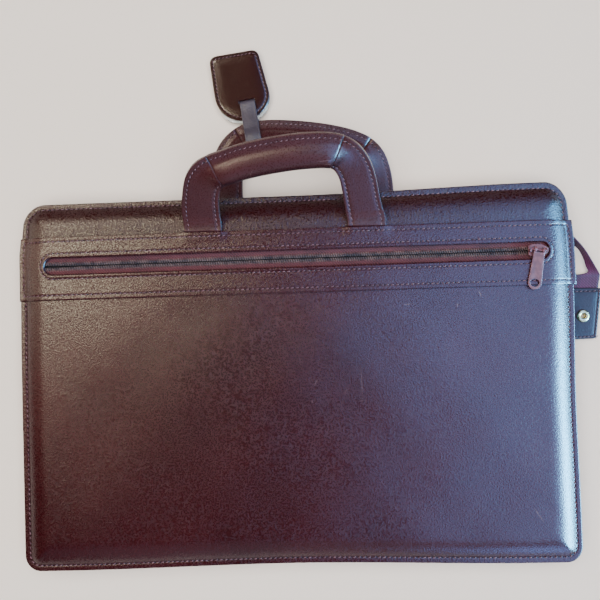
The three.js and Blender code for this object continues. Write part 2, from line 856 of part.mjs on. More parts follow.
// Loose tail of the main zip, twisting from upright to flat. Each station holds its inner and outer edge
// as shares: out of the tail's spread beyond the case side, down of its drop, up of the rim's top level
const tailStations = [
  { inner: [-0.263, 0, 0.4], outer: [-0.263, 0, 0.93] },
  { inner: [-0.18, 0.063, 0.4], outer: [-0.18, 0.054, 0.93] },
  { inner: [-0.053, 0.086, 0.4], outer: [-0.06, 0.068, 0.92] },
  { inner: [0.075, 0.133, 0.355], outer: [0.075, 0.096, 0.89] },
  { inner: [0.218, 0.217, 0.28], outer: [0.286, 0.213, 0.78] },
  { inner: [0.391, 0.306, 0.19], outer: [0.466, 0.329, 0.64] },
  { inner: [0.519, 0.442, 0.125], outer: [0.654, 0.489, 0.475] },
  { inner: [0.602, 0.6, 0.07], outer: [0.835, 0.638, 0.285] },
  { inner: [0.632, 0.731, 0.035], outer: [0.977, 0.75, 0.093] },
  { inner: [0.038, 0.788, 0], outer: [1, 0.802, 0] },
  { inner: [0.045, 0.928, 0], outer: [0.955, 0.937, 0] },
];
const tabMiddle = tabBottom + tabThickness / 2;
const tabTop = zipStart - tailDrop;
const tabLeft = caseHalfWidth + fitGap;

function tailPoint([out, down, up]) {
  return vec(
    caseHalfWidth + out * tailSpread,
    zipStart - fitGap - down * (tailDrop + fitGap),
    mix(tabMiddle, rimTop, up),
  );
}

function buildTailTape() {
  const ends = tailStations.map(({ inner, outer }) => ({ inner: tailPoint(inner), outer: tailPoint(outer) }));
  const mouthInner = tabLeft + tabMouthMargin + fitGap;
  const mouthEnd = tabTop - tabMouthDepth + fitGap;
  ends.push({
    inner: vec(mouthInner, mouthEnd, tabMiddle),
    outer: vec(tabLeft + tabWidth * 0.87, mouthEnd, tabMiddle),
  });
  const middles = ends.map(({ inner, outer }) => inner.clone().add(outer).multiplyScalar(0.5));
  const rings = ends.map(({ inner, outer }, i) => {
    const before = middles[Math.max(0, i - 1)];
    const after = middles[Math.min(middles.length - 1, i + 1)];
    const normal = outer.clone().sub(inner).cross(after.clone().sub(before)).normalize();
    const push = normal.multiplyScalar(tapeThickness / 2);
    return [
      inner.clone().add(push),
      outer.clone().add(push),
      outer.clone().sub(push),
      inner.clone().sub(push),
    ];
  });
  return ringSolid(rings, false, fanCap(4));
}

// The tab's outline as shares of its width and length, from its upper left corner
const tabOutline = [
  { across: 0, down: 0 },
  { across: 0.97, down: 0.015 },
  { across: 1, down: 0.045 },
  { across: 0.81, down: 0.967 },
  { across: 0.765, down: 0.99 },
  { across: 0.055, down: 1 },
  { across: 0.01, down: 0.972 },
];
const studAt = { across: 0.443, down: 0.549 };
const studX = tabLeft + tabWidth * studAt.across;
const studY = tabTop - tabLength * studAt.down;

function buildTailTab() {
  const outline = tabOutline.map(({ across, down }) => [tabLeft + across * tabWidth, tabTop - down * tabLength]);
  const tab = prism(outline, tabBottom, tabBottom + tabThickness);
  const halfMouth = tapeThickness / 2 + fitGap;
  const mouth = boxBetween(
    [tabLeft + tabMouthMargin, tabTop - tabMouthDepth, tabMiddle - halfMouth],
    [tabLeft + tabWidth * 0.955, tabTop + tabMouthDepth, tabMiddle + halfMouth],
  );
  const hole = new THREE.CylinderGeometry(studShank + fitGap, studShank + fitGap, tabThickness * 3, 20);
  hole.rotateX(Math.PI / 2);
  hole.translate(studX, studY, tabBottom);
  return cut(tab, mouth, hole);
}

function buildTailStud() {
  const under = tabBottom - fitGap;
  const over = tabBottom + tabThickness + fitGap;
  const profile = [
    [studHole, under - studFlange],
    [studRadius * 0.86, under - studFlange],
    [studRadius * 0.86, under],
    [studShank, under],
    [studShank, over],
    [studRadius, over],
    [studRadius, over + studHeight * 0.26],
    [studRadius * 0.9, over + studHeight * 0.7],
    [studRadius * 0.66, over + studHeight],
    [mix(studHole, studRadius, 0.2), over + studHeight * 0.89],
    [studHole, over + studHeight * 0.37],
    [studHole, under - studFlange],
  ];
  const stud = new THREE.LatheGeometry(profile.map(([x, y]) => new THREE.Vector2(x, y)), 24);
  stud.rotateX(Math.PI / 2);
  stud.translate(studX, studY, 0);
  return fromSolid(toSolid(stud));
}

// Pocket slider and puller, drawn about the hinge line, which is turned by the puller's lean
const sliderX = windowShift + windowHalfLength - sliderInset;
const sliderLevel = frontSurface(sliderX, windowCentreY) + fitGap;
const hinge = vec(sliderX + pullerShift, windowCentreY, sliderLevel + barHeight);

function rodAlongX(radius, length, segments) {
  const rod = new THREE.CylinderGeometry(radius, radius, length, segments);
  rod.rotateZ(Math.PI / 2);
  return rod;
}

function buildPocketSlider() {
  const half = sliderLength / 2;
  const side = sliderWidth / 2;
  const outline = [
    [-half, -side * 0.72],
    [-half * 0.62, -side],
    [half * 0.34, -side],
    [half, -side * 0.46],
    [half, side * 0.46],
    [half * 0.34, side],
    [-half * 0.62, side],
    [-half, side * 0.72],
  ];
  const plate = prism(outline, 0, sliderPlate);
  const footTop = barHeight + barRadius * 1.4;
  const feet = [-1, 1].map((sign) => {
    const near = sign * (barSpan / 2);
    const far = sign * (barSpan / 2 + barFoot);
    return boxBetween(
      [Math.min(near, far), -footDepth / 2, sliderPlate / 2],
      [Math.max(near, far), footDepth / 2, footTop],
    );
  });
  const bar = rodAlongX(barRadius, barSpan + barFoot, 16);
  bar.rotateZ(-pullerLean);
  bar.translate(pullerShift, 0, barHeight);
  const body = join(plate, ...feet, bar);
  body.translate(sliderX, windowCentreY, sliderLevel);
  return body;
}

function buildPocketPuller() {
  const neck = eyeRadius + pullerNeck;
  const topHalf = pullerTopWidth / 2;
  const outline = [];
  outline.push([-topHalf, -eyeRadius]);
  outline.push([-topHalf, -neck]);
  for (let i = 0; i <= 14; i += 1) {
    const angle = Math.PI - 0.1 + ((Math.PI + 0.2) * i) / 14;
    outline.push([pullerRingRadius * Math.cos(angle), -pullerReach + pullerRingRadius * Math.sin(angle)]);
  }
  outline.push([topHalf, -neck]);
  outline.push([topHalf, -eyeRadius]);
  const plate = prism(outline, -pullerThickness / 2, pullerThickness / 2);
  const hole = new THREE.CylinderGeometry(1, 1, pullerThickness * 3, 20);
  hole.rotateX(Math.PI / 2);
  hole.scale(pullerHoleX, pullerHoleY, 1);
  hole.translate(0, -pullerReach, 0);
  const arms = [];
  const bores = [];
  for (const sign of [-1, 1]) {
    const eye = rodAlongX(eyeRadius, eyeWidth, 20);
    eye.translate(sign * eyeSpread, 0, 0);
    arms.push(eye);
    const low = sign * eyeSpread - eyeWidth / 2;
    const high = sign * eyeSpread + eyeWidth / 2;
    arms.push(boxBetween([low, -neck, -pullerThickness / 2], [high, 0, pullerThickness / 2]));
  }
  bores.push(rodAlongX(barRadius + fitGap, eyeSpread * 4, 16));
  let puller = join(plate, ...arms);
  puller = cut(puller, hole, ...bores);
  puller.rotateX(pullerDip);
  puller.rotateZ(-pullerLean);
  return puller;
}

// Luggage tag in its own place: X across, Y away from the case, Z up. Its outline holds shares of the
// half width and of the length, with the strap's slot at the origin
const tagShape = [
  { across: -0.951, along: 0.664 },
  { across: -0.874, along: 0.708 },
  { across: -0.733, along: 0.727 },
  { across: 0.709, along: 0.708 },
  { across: 0.835, along: 0.679 },
  { across: 0.874, along: 0.627 },
  { across: 1, along: 0.074 },
  { across: 0.971, along: -0.018 },
  { across: 0.845, along: -0.111 },
  { across: 0.612, along: -0.196 },
  { across: 0.369, along: -0.247 },
  { across: 0, along: -0.273 },
  { across: -0.369, along: -0.247 },
  { across: -0.66, along: -0.177 },
  { across: -0.874, along: -0.077 },
  { across: -0.981, along: 0.03 },
  { across: -1, along: 0.148 },
];
const tagOutline = tagShape.map(({ across, along }) => [tagCentre + across * tagHalfWidth, along * tagLength]);
const strapLow = tableGap + strapThickness / 2;
const tagBottom = strapLow + strapThickness / 2 + fitGap * 2;

function slotted(outline, low, thickness) {
  const slotHalf = strapWidth / 2 + fitGap * 2;
  const slot = boxBetween([-slotHalf, slotInset, low - thickness], [slotHalf, slotInset + slotLength, low + thickness * 2]);
  return cut(prism(outline, low, low + thickness), slot);
}

// The card is narrower than its leather faces and peeks out below them
const cardInset = 2;
const cardOutline = tagOutline.map(([x, y]) => {
  const lower = smooth(0.17 - (y / tagLength) * 4.5);
  const side = Math.sign(x - tagCentre);
  const away = y > cardInset ? y - cardInset : y - cardPeek * lower;
  return [x - side * mix(cardInset, -cardSidePeek, lower), away];
});

const cardLow = tagBottom + tagLeather + fitGap;
const tagFrontLow = cardLow + cardThickness + fitGap;
const tagTop = tagFrontLow + tagLeather;

// The strap runs up through the slot, over the tag and the grip, and back beneath both
const gripHalf = legWidth * 0.475;
const gripNear = gripHalf - strapDrop;
const gripFar = -gripHalf - strapDrop;
const rollTop = backGripHeight + handleRoll + fitGap * 2 + strapThickness / 2;
const overTag = tagTop + fitGap * 2 + strapThickness / 2;
const strapMiddle = slotInset + slotLength / 2;
const strapTurn = strapThickness / 2;
const strapFar = gripFar - strapThickness / 2 - fitGap * 8;
const strapPath = [
  [strapMiddle, mix(strapLow, overTag, 0.5)],
  [strapMiddle - strapTurn * 0.3, mix(strapLow, overTag, 0.85)],
  [strapMiddle - strapTurn * 3, overTag + strapTurn * 0.6],
  [mix(slotInset, gripNear, 0.33), overTag + strapTurn * 1.6],
  [mix(slotInset, gripNear, 0.68), mix(overTag, rollTop, 0.27)],
  [gripNear, mix(overTag, rollTop, 0.45)],
  [mix(gripNear, gripFar, 0.22), mix(overTag, rollTop, 0.64)],
  [mix(gripNear, gripFar, 0.42), mix(overTag, rollTop, 0.92)],
  [mix(gripNear, gripFar, 0.62), rollTop],
  [mix(gripNear, gripFar, 0.86), mix(overTag, rollTop, 0.88)],
  [mix(gripFar, strapFar, 0.45), mix(strapLow, rollTop, 0.77)],
  [strapFar, mix(strapLow, rollTop, 0.48)],
  [mix(gripFar, strapFar, 0.45), mix(strapLow, rollTop, 0.2)],
  [mix(gripNear, gripFar, 0.88), mix(strapLow, rollTop, 0.035)],
  [mix(gripNear, gripFar, 0.64), strapLow],
  [mix(slotInset, gripNear, 0.6), strapLow],
  [strapMiddle - strapTurn * 4, strapLow],
  [strapMiddle - strapTurn * 0.8, mix(strapLow, overTag, 0.1)],
  [strapMiddle + strapTurn * 0.1, mix(strapLow, overTag, 0.3)],
];

function buildTagStrap() {
  const rings = strapPath.map(([y, z], i) => {
    const before = strapPath[(i + strapPath.length - 1) % strapPath.length];
    const after = strapPath[(i + 1) % strapPath.length];
    const tangent = new THREE.Vector2(after[0] - before[0], after[1] - before[1]).normalize();
    const outY = (-tangent.y * strapThickness) / 2;
    const outZ = (tangent.x * strapThickness) / 2;
    const half = strapWidth / 2;
    return [
      vec(-half, y + outY, z + outZ),
      vec(half, y + outY, z + outZ),
      vec(half, y - outY, z - outZ),
      vec(-half, y - outY, z - outZ),
    ];
  });
  return ringSolid(rings, true, []);
}

const group = new THREE.Group();
group.name = 'leather_document_case';

function material(color, roughness, metalness) {
  return new THREE.MeshStandardMaterial({ color, roughness, metalness });
}

function addPiece(name, geometry, color, roughness, metalness, parent = group) {
  geometry.computeVertexNormals();
  const mesh = new THREE.Mesh(geometry, material(color, roughness, metalness));
  mesh.name = name;
  parent.add(mesh);
  return mesh;
}

const oxblood = '#41181c';
const oxbloodDark = '#34161a';
const zipCloth = '#5a2c36';
const coil = '#4c2630';
const enamel = '#84424e';
const brass = '#c9b98a';
const clearCard = '#d9dcd8';

addPiece('front_panel', buildFrontPanel(), oxblood, 0.35, 0);
addPiece('top_strip', buildTopStrip(), oxblood, 0.38, 0);
addPiece('pocket_band', buildPocketBand(), oxblood, 0.35, 0);
addPiece('back_panel', buildBackPanel(), oxblood, 0.4, 0);
addPiece('back_band', buildBackBand(), oxblood, 0.4, 0);
addPiece('gusset', buildGusset(), oxbloodDark, 0.45, 0);
addPiece('main_zip_tape_front', rimSolid(zipRoute, rimTapeProfile(rimTop, -1)), zipCloth, 0.8, 0);
addPiece('main_zip_tape_back', rimSolid(zipRoute, rimTapeProfile(rimBottom, 1)), zipCloth, 0.8, 0);
addPiece('main_zip_chain', buildRimChain(), coil, 0.5, 0);
addPiece('main_zip_slider', buildRimSlider(), enamel, 0.4, 0.4);
addPiece('pocket_tape_lower', buildPocketTape(wellLow, chainLow), zipCloth, 0.8, 0);
addPiece('pocket_tape_upper', buildPocketTape(chainHigh, wellHigh), zipCloth, 0.8, 0);
addPiece('pocket_chain', buildPocketChain(), coil, 0.5, 0);
addPiece('pocket_slider', buildPocketSlider(), enamel, 0.4, 0.4);
const puller = addPiece('pocket_puller', buildPocketPuller(), enamel, 0.4, 0.4);
puller.position.copy(hinge);
addPiece('zip_tail_tape', buildTailTape(), zipCloth, 0.8, 0);
addPiece('tail_tab', buildTailTab(), oxbloodDark, 0.4, 0);
addPiece('tail_stud', buildTailStud(), brass, 0.3, 1);
addPiece('handle_front_leg_left', frontParts.left, oxblood, 0.38, 0);
addPiece('handle_front_grip', frontParts.grip, oxblood, 0.38, 0);
addPiece('handle_front_leg_right', frontParts.right, oxblood, 0.38, 0);
addPiece('handle_back_leg_left', backParts.left, oxblood, 0.38, 0);
addPiece('handle_back_grip', backParts.grip, oxblood, 0.38, 0);
addPiece('handle_back_leg_right', backParts.right, oxblood, 0.38, 0);

const seat = backHandle.find((row) => row.strap);
const tag = new THREE.Group();
tag.name = 'luggage_tag';
tag.position.set(
  backHandleCentre + seat.across * backHandleSpread - strapDrop * Math.sin(tagLean),
  bandHigh + seat.along * backHandleReach + strapDrop * Math.cos(tagLean),
  0,
);
tag.rotation.z = tagLean;
group.add(tag);
addPiece('tag_back', slotted(tagOutline, tagBottom, tagLeather), oxblood, 0.38, 0, tag);
addPiece('tag_card', slotted(cardOutline, cardLow, cardThickness), clearCard, 0.2, 0, tag);
addPiece('tag_front', slotted(tagOutline, tagFrontLow, tagLeather), oxblood, 0.38, 0, tag);
addPiece('tag_strap', buildTagStrap(), oxblood, 0.38, 0, tag);

export default group;
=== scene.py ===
import bmesh
import bpy
import math
import numpy as np
from mathutils import Matrix, Vector


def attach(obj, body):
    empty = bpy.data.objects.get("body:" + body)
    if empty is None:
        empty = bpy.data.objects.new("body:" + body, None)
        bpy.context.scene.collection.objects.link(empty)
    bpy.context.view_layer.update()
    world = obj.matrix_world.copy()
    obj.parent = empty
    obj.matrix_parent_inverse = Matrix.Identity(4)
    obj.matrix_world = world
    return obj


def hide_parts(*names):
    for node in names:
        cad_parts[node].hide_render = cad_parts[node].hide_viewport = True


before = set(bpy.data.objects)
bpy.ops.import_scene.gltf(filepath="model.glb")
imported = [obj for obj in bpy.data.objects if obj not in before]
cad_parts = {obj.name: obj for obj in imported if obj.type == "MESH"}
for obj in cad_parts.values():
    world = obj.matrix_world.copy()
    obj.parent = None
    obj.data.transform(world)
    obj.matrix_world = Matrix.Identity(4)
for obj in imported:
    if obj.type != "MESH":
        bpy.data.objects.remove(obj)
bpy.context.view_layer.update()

# ---------------------------------------------------------------------------
# Back of the case: one sheet of glazed calf leather that lies on the table,
# its edges turned up to the rim, painted and sewn to the gusset. Everything
# below is in millimetres in the case's own frame until a mesh is made.
# ---------------------------------------------------------------------------
HALF_W, HALF_H = 209.0, 138.0
LOW_RADIUS, TOP_RADIUS = 12.0, 16.0
FLANGE, DOME_WIDTH, DOME_RISE, DOME_POWER = 4.6, 18.0, 7.0, 2.2
STRIP_DEPTH, BAND_DEPTH = 26.1, 47.8
BAND_HIGH = HALF_H - STRIP_DEPTH
BAND_LOW = BAND_HIGH - BAND_DEPTH
BAND_RECESS, STRIP_RECESS = 2.2, 4.32
BACK_LEATHER, BACK_LIFT, BACK_DOME_WIDTH = 2.2, 6.0, 19.0
STITCH_IN, CUT_EDGE = 4.2, 0.9
LOW_BOW, TOP_RISE, TAPER_RIGHT, TAPER_LEFT, WANDER = 3.0, 3.2, 3.0, 5.2, 0.9
# Where the sides wander: which side, middle, reach and push.
WANDERS = ((-1, 0.64, 0.33, -1), (1, 0.435, 0.29, 1), (1, -0.18, 0.326, -0.78))


def mix(a, b, share):
    return a + (b - a) * share


def smooth(value):
    t = np.clip(value, 0.0, 1.0)
    return t * t * (3 - 2 * t)


def inset(x, y):
    """Distance inwards from the rounded outline of the case."""
    radius = np.where(y > 0, TOP_RADIUS, LOW_RADIUS)
    qx = np.abs(x) - (HALF_W - radius)
    qy = np.abs(y) - (HALF_H - radius)
    outside = np.hypot(np.maximum(qx, 0), np.maximum(qy, 0))
    return radius - outside - np.minimum(np.maximum(qx, qy), 0)


def dome_share(distance, width):
    t = np.clip((distance - FLANGE) / width, 0, 1)
    return 1 - (1 - t) ** DOME_POWER


def settle(points):
    """The handmade outline: bowed lower edge, rising top edge, sides that wander a little."""
    p = np.array(points, dtype=float)
    x, y = p[:, 0].copy(), p[:, 1].copy()
    low = np.clip(-y / HALF_H, 0, 1)
    high = np.clip((y - BAND_HIGH) / STRIP_DEPTH, 0, 1)
    taper = np.clip((y - HALF_H) / 40 + 1, 0, 1)
    side, up = x / HALF_W, y / HALF_H
    p[:, 1] += -LOW_BOW * low * smooth(np.abs(side) / 0.86) + TOP_RISE * high * smooth((side - 0.07) / 0.84)
    p[:, 0] -= np.where(side > 0, TAPER_RIGHT, TAPER_LEFT) * taper * side
    for sign, middle, reach, push in WANDERS:
        share = np.clip(side * sign, 0, 1) ** 3
        p[:, 0] += sign * push * WANDER * share * np.exp(-(((up - middle) / reach) ** 2))
    return p


def edge_round(distance, radius):
    """How far a cut edge of that radius falls away towards the edge."""
    d = np.clip(distance, 0, radius)
    return radius - np.sqrt(np.maximum(0.0, radius * radius - (radius - d) ** 2))


def sewn_groove(distance, centre=STITCH_IN, depth=0.24, width=0.7):
    return depth * np.exp(-(((distance - centre) / width) ** 2))


def back_surface(x, y):
    lift = BACK_LIFT * (1 - dome_share(inset(x, y), BACK_DOME_WIDTH))
    recess = np.where(y > BAND_LOW - 0.45, BAND_RECESS, 0.0)
    recess = np.where(y > BAND_HIGH, mix(BAND_RECESS, STRIP_RECESS, smooth((y - BAND_HIGH) / 2)), recess)
    return np.maximum(lift, recess)


def half_width_at(y):
    radius = np.where(y > 0, TOP_RADIUS, LOW_RADIUS)
    into = np.abs(y) - (HALF_H - radius)
    return HALF_W - np.where(into > 0, radius - np.sqrt(np.maximum(0, radius**2 - into**2)), 0)


# Distances from a sewn edge at which the grid has its lines.
FINE = [0, 0.08, 0.22, 0.45, 0.75, 1.2, 1.8, 2.4, 2.9, 3.3, 3.7, 4.1, 4.5, 4.9, 5.4, 6.1, 6.9, 7.8, 8.8, 9.9,
    11, 12.2, 13.5, 15, 17, 19, 21.5, 24, 27, 30.5]


def lines_between(low, high, low_edge, high_edge, step):
    """Grid lines from low to high: close together within each edge that is sewn, then in even steps."""
    first = [low + d for d in low_edge]
    last = [high - d for d in high_edge]
    count = max(1, int(round((last[-1] - first[-1]) / step)))
    middle = [mix(first[-1], last[-1], i / count) for i in range(1, count)]
    return np.array(sorted(set(first + middle + last)))


def add_object(name, data):
    made = bpy.data.objects.new(name, data)
    bpy.context.scene.collection.objects.link(made)
    return made


def make_mesh(name, points, faces, material):
    """A smooth piece from points in millimetres."""
    mesh = bpy.data.meshes.new(name)
    mesh.from_pydata((np.asarray(points) / 1000.0).tolist(), [], faces)
    mesh.validate()
    mesh.shade_smooth()
    mesh.materials.append(material)
    return add_object(name, mesh)


def stand_in(piece, node, body="case"):
    """Puts a piece in the place of its solid, which it hides, and on that solid's body."""
    if node:
        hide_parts(node)
    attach(piece, body)


def leather_sheet(name, xs, ys, width_at, top, bottom, material):
    """A closed sheet of leather over a grid, its sides closed from the upper to the lower face."""
    share = np.asarray(xs) / HALF_W
    ys = np.asarray(ys)
    x = width_at(ys)[:, None] * share[None, :]
    y = np.repeat(ys[:, None], len(share), axis=1)
    upper = np.stack([x, y, top(x, y)], -1).reshape(-1, 3)
    lower = np.stack([x, y, bottom(x, y)], -1).reshape(-1, 3)
    rows, wide = x.shape
    layer, index = rows * wide, np.arange(rows * wide).reshape(rows, wide)
    a, b, c, d = (corner.ravel() for corner in (index[:-1, :-1], index[:-1, 1:], index[1:, 1:],
        index[1:, :-1]))
    left, right, near, far = index[:, 0], index[:, -1], index[0], index[-1]
    quads = [(a, b, c, d), (layer + a, layer + d, layer + c, layer + b),
             (left[:-1], left[1:], layer + left[1:], layer + left[:-1]),
             (right[:-1], layer + right[:-1], layer + right[1:], right[1:]),
             (near[:-1], layer + near[:-1], layer + near[1:], near[1:]),
             (far[:-1], far[1:], layer + far[1:], layer + far[:-1])]
    faces = np.concatenate([np.stack(quad, -1) for quad in quads]).tolist()
    return make_mesh(name, settle(np.concatenate([upper, lower])), faces, material)


def linear(hex_colour):
    """An sRGB hex value as linear red, green and blue."""
    value = hex_colour.lstrip("#")
    parts = [int(value[i:i + 2], 16) / 255 for i in (0, 2, 4)]
    return [p / 12.92 if p <= 0.04045 else ((p + 0.055) / 1.055) ** 2.4 for p in parts] + [1.0]


def put(tree, kind, inputs=None, **settings):
    """Adds one node with its settings, and links or sets the inputs that are named."""
    node = tree.nodes.new(kind)
    for key, value in settings.items():
        setattr(node, key, value)
    for socket, value in (inputs or {}).items():
        if isinstance(value, bpy.types.NodeSocket):
            tree.links.new(value, node.inputs[socket])
        else:
            node.inputs[socket].default_value = value
    return node


class Finish:
    """A material's nodes on Object coordinates, with short names for those that repeat."""

    def __init__(self, name):
        self.material = bpy.data.materials.new(name)
        self.material.use_nodes = True
        self.tree = self.material.node_tree
        self.tree.nodes.clear()
        self.place = put(self.tree, "ShaderNodeTexCoord").outputs["Object"]

    def noise(self, scale, detail=2.0, roughness=0.5, place=None, distortion=0.0):
        return put(self.tree, "ShaderNodeTexNoise", {
            "Vector": place or self.place, "Scale": scale, "Detail": detail, "Roughness": roughness,
            "Distortion": distortion}).outputs["Fac"]

    def maths(self, operation, a, b, **settings):
        return put(self.tree, "ShaderNodeMath", {0: a, 1: b}, operation=operation, **settings).outputs[0]

    def mapped(self, value, low, high, to_low, to_high):
        return put(self.tree, "ShaderNodeMapRange", {
            "Value": value, "From Min": low, "From Max": high, "To Min": to_low,
            "To Max": to_high}).outputs["Result"]

    def bump(self, height, strength, distance, normal=None):
        inputs = {"Height": height, "Strength": strength, "Distance": distance}
        if normal:
            inputs["Normal"] = normal
        return put(self.tree, "ShaderNodeBump", inputs).outputs["Normal"]

    def ramp(self, factor, deep, bright, low=0.35, high=0.65):
        node = put(self.tree, "ShaderNodeValToRGB", {"Fac": factor})
        for element, place, colour in zip(node.color_ramp.elements, (low, high), (deep, bright)):
            element.position, element.color = place, linear(colour)
        return node.outputs["Color"]

    def moved(self, **inputs):
        return put(self.tree, "ShaderNodeMapping", {"Vector": self.place, **inputs}).outputs["Vector"]

    def done(self, colour, roughness, **inputs):
        named = {key.replace("_", " "): value for key, value in inputs.items()}
        shader = put(self.tree, "ShaderNodeBsdfPrincipled", {"Base Color": colour, "Roughness": roughness,
            **named})
        put(self.tree, "ShaderNodeOutputMaterial", {"Surface": shader.outputs["BSDF"]})
        return self.material


CLOUD, FLECK, PEBBLE, FINE_GRAIN, RIPPLE, FOLD = 14.0, 640.0, 900.0, 1500.0, 55.0, 260.0
SCRATCH_COLOUR, SCRATCH_SHARE = "#8a7479", 0.32
GLAZE_SPREAD, PIT_ROUGH, PIT_SMOOTH = 0.03, 0.16, -0.02


def calf_leather(name, deep, bright, roughness, grain=1.0, crease=0.0, relief=1.0, shine=0.6, scratches=()):
    """Glazed calf: aniline-dyed, so the colour is cloudy; pressed grain about 1 mm across, whose rougher pits
    break every reflection into fine stipple; the glaze between them is smooth, with a few pale scratches."""
    look = Finish(name)
    tone = look.maths("ADD", look.noise(CLOUD, 5.0, 0.62), look.noise(FLECK, 2.0, 0.6))
    half = look.maths("MULTIPLY", tone, 0.5)
    colour = look.ramp(half, deep, bright, 0.22, 0.78)
    pebble = look.noise(PEBBLE / grain, 1.5, 0.6)
    normal = look.bump(look.noise(FINE_GRAIN / grain, 1.0), 0.5, 0.00006 * relief)
    normal = look.bump(pebble, 1.0, 0.0002 * relief, normal)
    normal = look.bump(look.noise(RIPPLE, 2.0, 0.45), 0.09, 0.0011, normal)
    if crease:
        folds = look.noise(FOLD, 3.0, place=look.moved(Scale=(1, 0.16, 0.16)), distortion=0.6)
        normal = look.bump(folds, crease, 0.0006, normal)
    nearest = None
    for x, y, turn, length, half_width in scratches:
        away = (-(x * math.cos(turn) + y * math.sin(turn)) / 1000,
            (x * math.sin(turn) - y * math.cos(turn)) / 1000, 0)
        local = look.moved(Rotation=(0, 0, -turn), Location=away)
        shares = put(look.tree, "ShaderNodeVectorMath", {0: local, 1: (2000 / length, 1000 / half_width, 0)},
                     operation="MULTIPLY").outputs[0]
        reach = put(look.tree, "ShaderNodeVectorMath", {0: shares}, operation="LENGTH").outputs["Value"]
        nearest = look.maths("MINIMUM", nearest, reach) if nearest else reach
    if nearest:
        cut = look.mapped(nearest, 0.5, 1.0, SCRATCH_SHARE, 0.0)
        colour = put(look.tree, "ShaderNodeMix", {"Factor": cut, 6: colour, 7: linear(SCRATCH_COLOUR)},
                     data_type="RGBA").outputs[2]
    gloss = look.mapped(half, 0.3, 0.7, roughness, roughness + GLAZE_SPREAD)
    pits = look.mapped(pebble, 0.35, 0.6, PIT_ROUGH * relief, PIT_SMOOTH)
    rough = look.maths("ADD", gloss, pits, use_clamp=True)
    return look.done(colour, rough, Normal=normal, IOR=1.5, Specular_IOR_Level=shine)


# Each scratch: middle, direction, length and half width in millimetres.
oxblood = calf_leather("glazed oxblood calf", "#1e0205", "#38040b", 0.19,
    scratches=((139, 59, -1.2, 6, 0.5), (122, 51, 1.4, 4, 0.5), (86, 53, 0.1, 9, 0.3), (16, -3, 1.1, 5, 0.45),
    (38, -10, 1.0, 6, 0.35), (13, -17, 1.4, 3, 0.4), (50, -5, 1.6, 32, 0.22), (-37, 2, 0.7, 3, 0.5),
    (-26, 36, 0.8, 3, 0.4), (-62, -7, 0.6, 3, 0.4), (176, -104, -1.0, 16, 0.3), (-118, -64, 0.4, 7, 0.25)))

back_top = lambda x, y: back_surface(x, y) + BACK_LEATHER - edge_round(inset(x, y), CUT_EDGE)
back_low = lambda x, y: back_surface(x, y) + edge_round(inset(x, y), CUT_EDGE) + sewn_groove(inset(x, y))
columns = lines_between(-HALF_W, HALF_W, FINE, FINE, 6)
back_rows = lines_between(-HALF_H, HALF_H, FINE, FINE, 5)
step_rows = [BAND_LOW - 0.6, BAND_LOW - 0.3, BAND_HIGH, BAND_HIGH + 0.7, BAND_HIGH + 1.4, BAND_HIGH + 2.1]
back = leather_sheet("back_leather", columns, np.array(sorted([*back_rows, *step_rows])), half_width_at,
    back_top, back_low, oxblood)
stand_in(back, "back_panel")

# ---------------------------------------------------------------------------
# Band across the back: a flat strip of the same calf, sewn along both edges,
# that carries the back handle's legs. It lies flush in the back leather.
# ---------------------------------------------------------------------------
BAND_LEATHER, BAND_EDGE, BAND_STITCH_IN = 1.9, 0.7, 3.6


def band_edge(x, y):
    return np.minimum(HALF_W - np.abs(x), np.minimum(y - BAND_LOW, BAND_HIGH - y))


def back_band_level(x, y):
    """The level that the back leather has at mid band, where the band lies on it."""
    return np.maximum(0, back_surface(x, np.full_like(y, 88.0)) - BAND_RECESS)


def back_band_low(x, y):
    d = band_edge(x, y)
    return back_band_level(x, y) + edge_round(d, BAND_EDGE) + sewn_groove(d, BAND_STITCH_IN, 0.3, 0.8)


def back_band_top(x, y):
    return back_band_level(x, y) + BAND_LEATHER - edge_round(band_edge(x, y), BAND_EDGE)


flat_width = lambda y: np.full_like(y, HALF_W)
band_rows = lines_between(BAND_LOW, BAND_HIGH, FINE[:16], FINE[:16], 3)
back_band = leather_sheet("back_band_leather", columns, band_rows, flat_width, back_band_top, back_band_low,
    oxblood)
stand_in(back_band, "back_band")

# ---------------------------------------------------------------------------
# Gusset round the sides and the bottom: thin calf folded inwards like a
# bellows, sewn between the edges of the front and the back.
# ---------------------------------------------------------------------------
RIM_TOP, RIM_BOTTOM = 20.7, 8.5
RIM_MIDDLE = (RIM_TOP + RIM_BOTTOM) / 2
RIM_INSET = 6.0
ZIP_START = HALF_H - 33.0


def outline_route(end_y, sign_y, step=3.0):
    """Points on the outline and outward directions, from one side round the bottom or top to the other."""
    radius = TOP_RADIUS if sign_y > 0 else LOW_RADIUS
    side, flat = sign_y * (HALF_H - radius), HALF_W - radius
    upright, level = max(2, int(abs(side - end_y) / step)), int(2 * flat / step)
    corner = [(math.cos(math.pi / 2 * i / 12), math.sin(math.pi / 2 * i / 12)) for i in range(13)]
    points = [(-HALF_W, mix(end_y, side, i / upright), -1.0, 0.0) for i in range(upright)]
    points += [(-flat - radius * c, side + sign_y * radius * s, -c, sign_y * s) for c, s in corner]
    points += [(mix(-flat, flat, i / level), sign_y * HALF_H, 0.0, sign_y) for i in range(1, level)]
    points += [(flat + radius * c, side + sign_y * radius * s, c, sign_y * s) for c, s in corner[::-1]]
    points += [(HALF_W, mix(side, end_y, i / upright), 1.0, 0.0) for i in range(1, upright + 1)]
    return np.array(points)


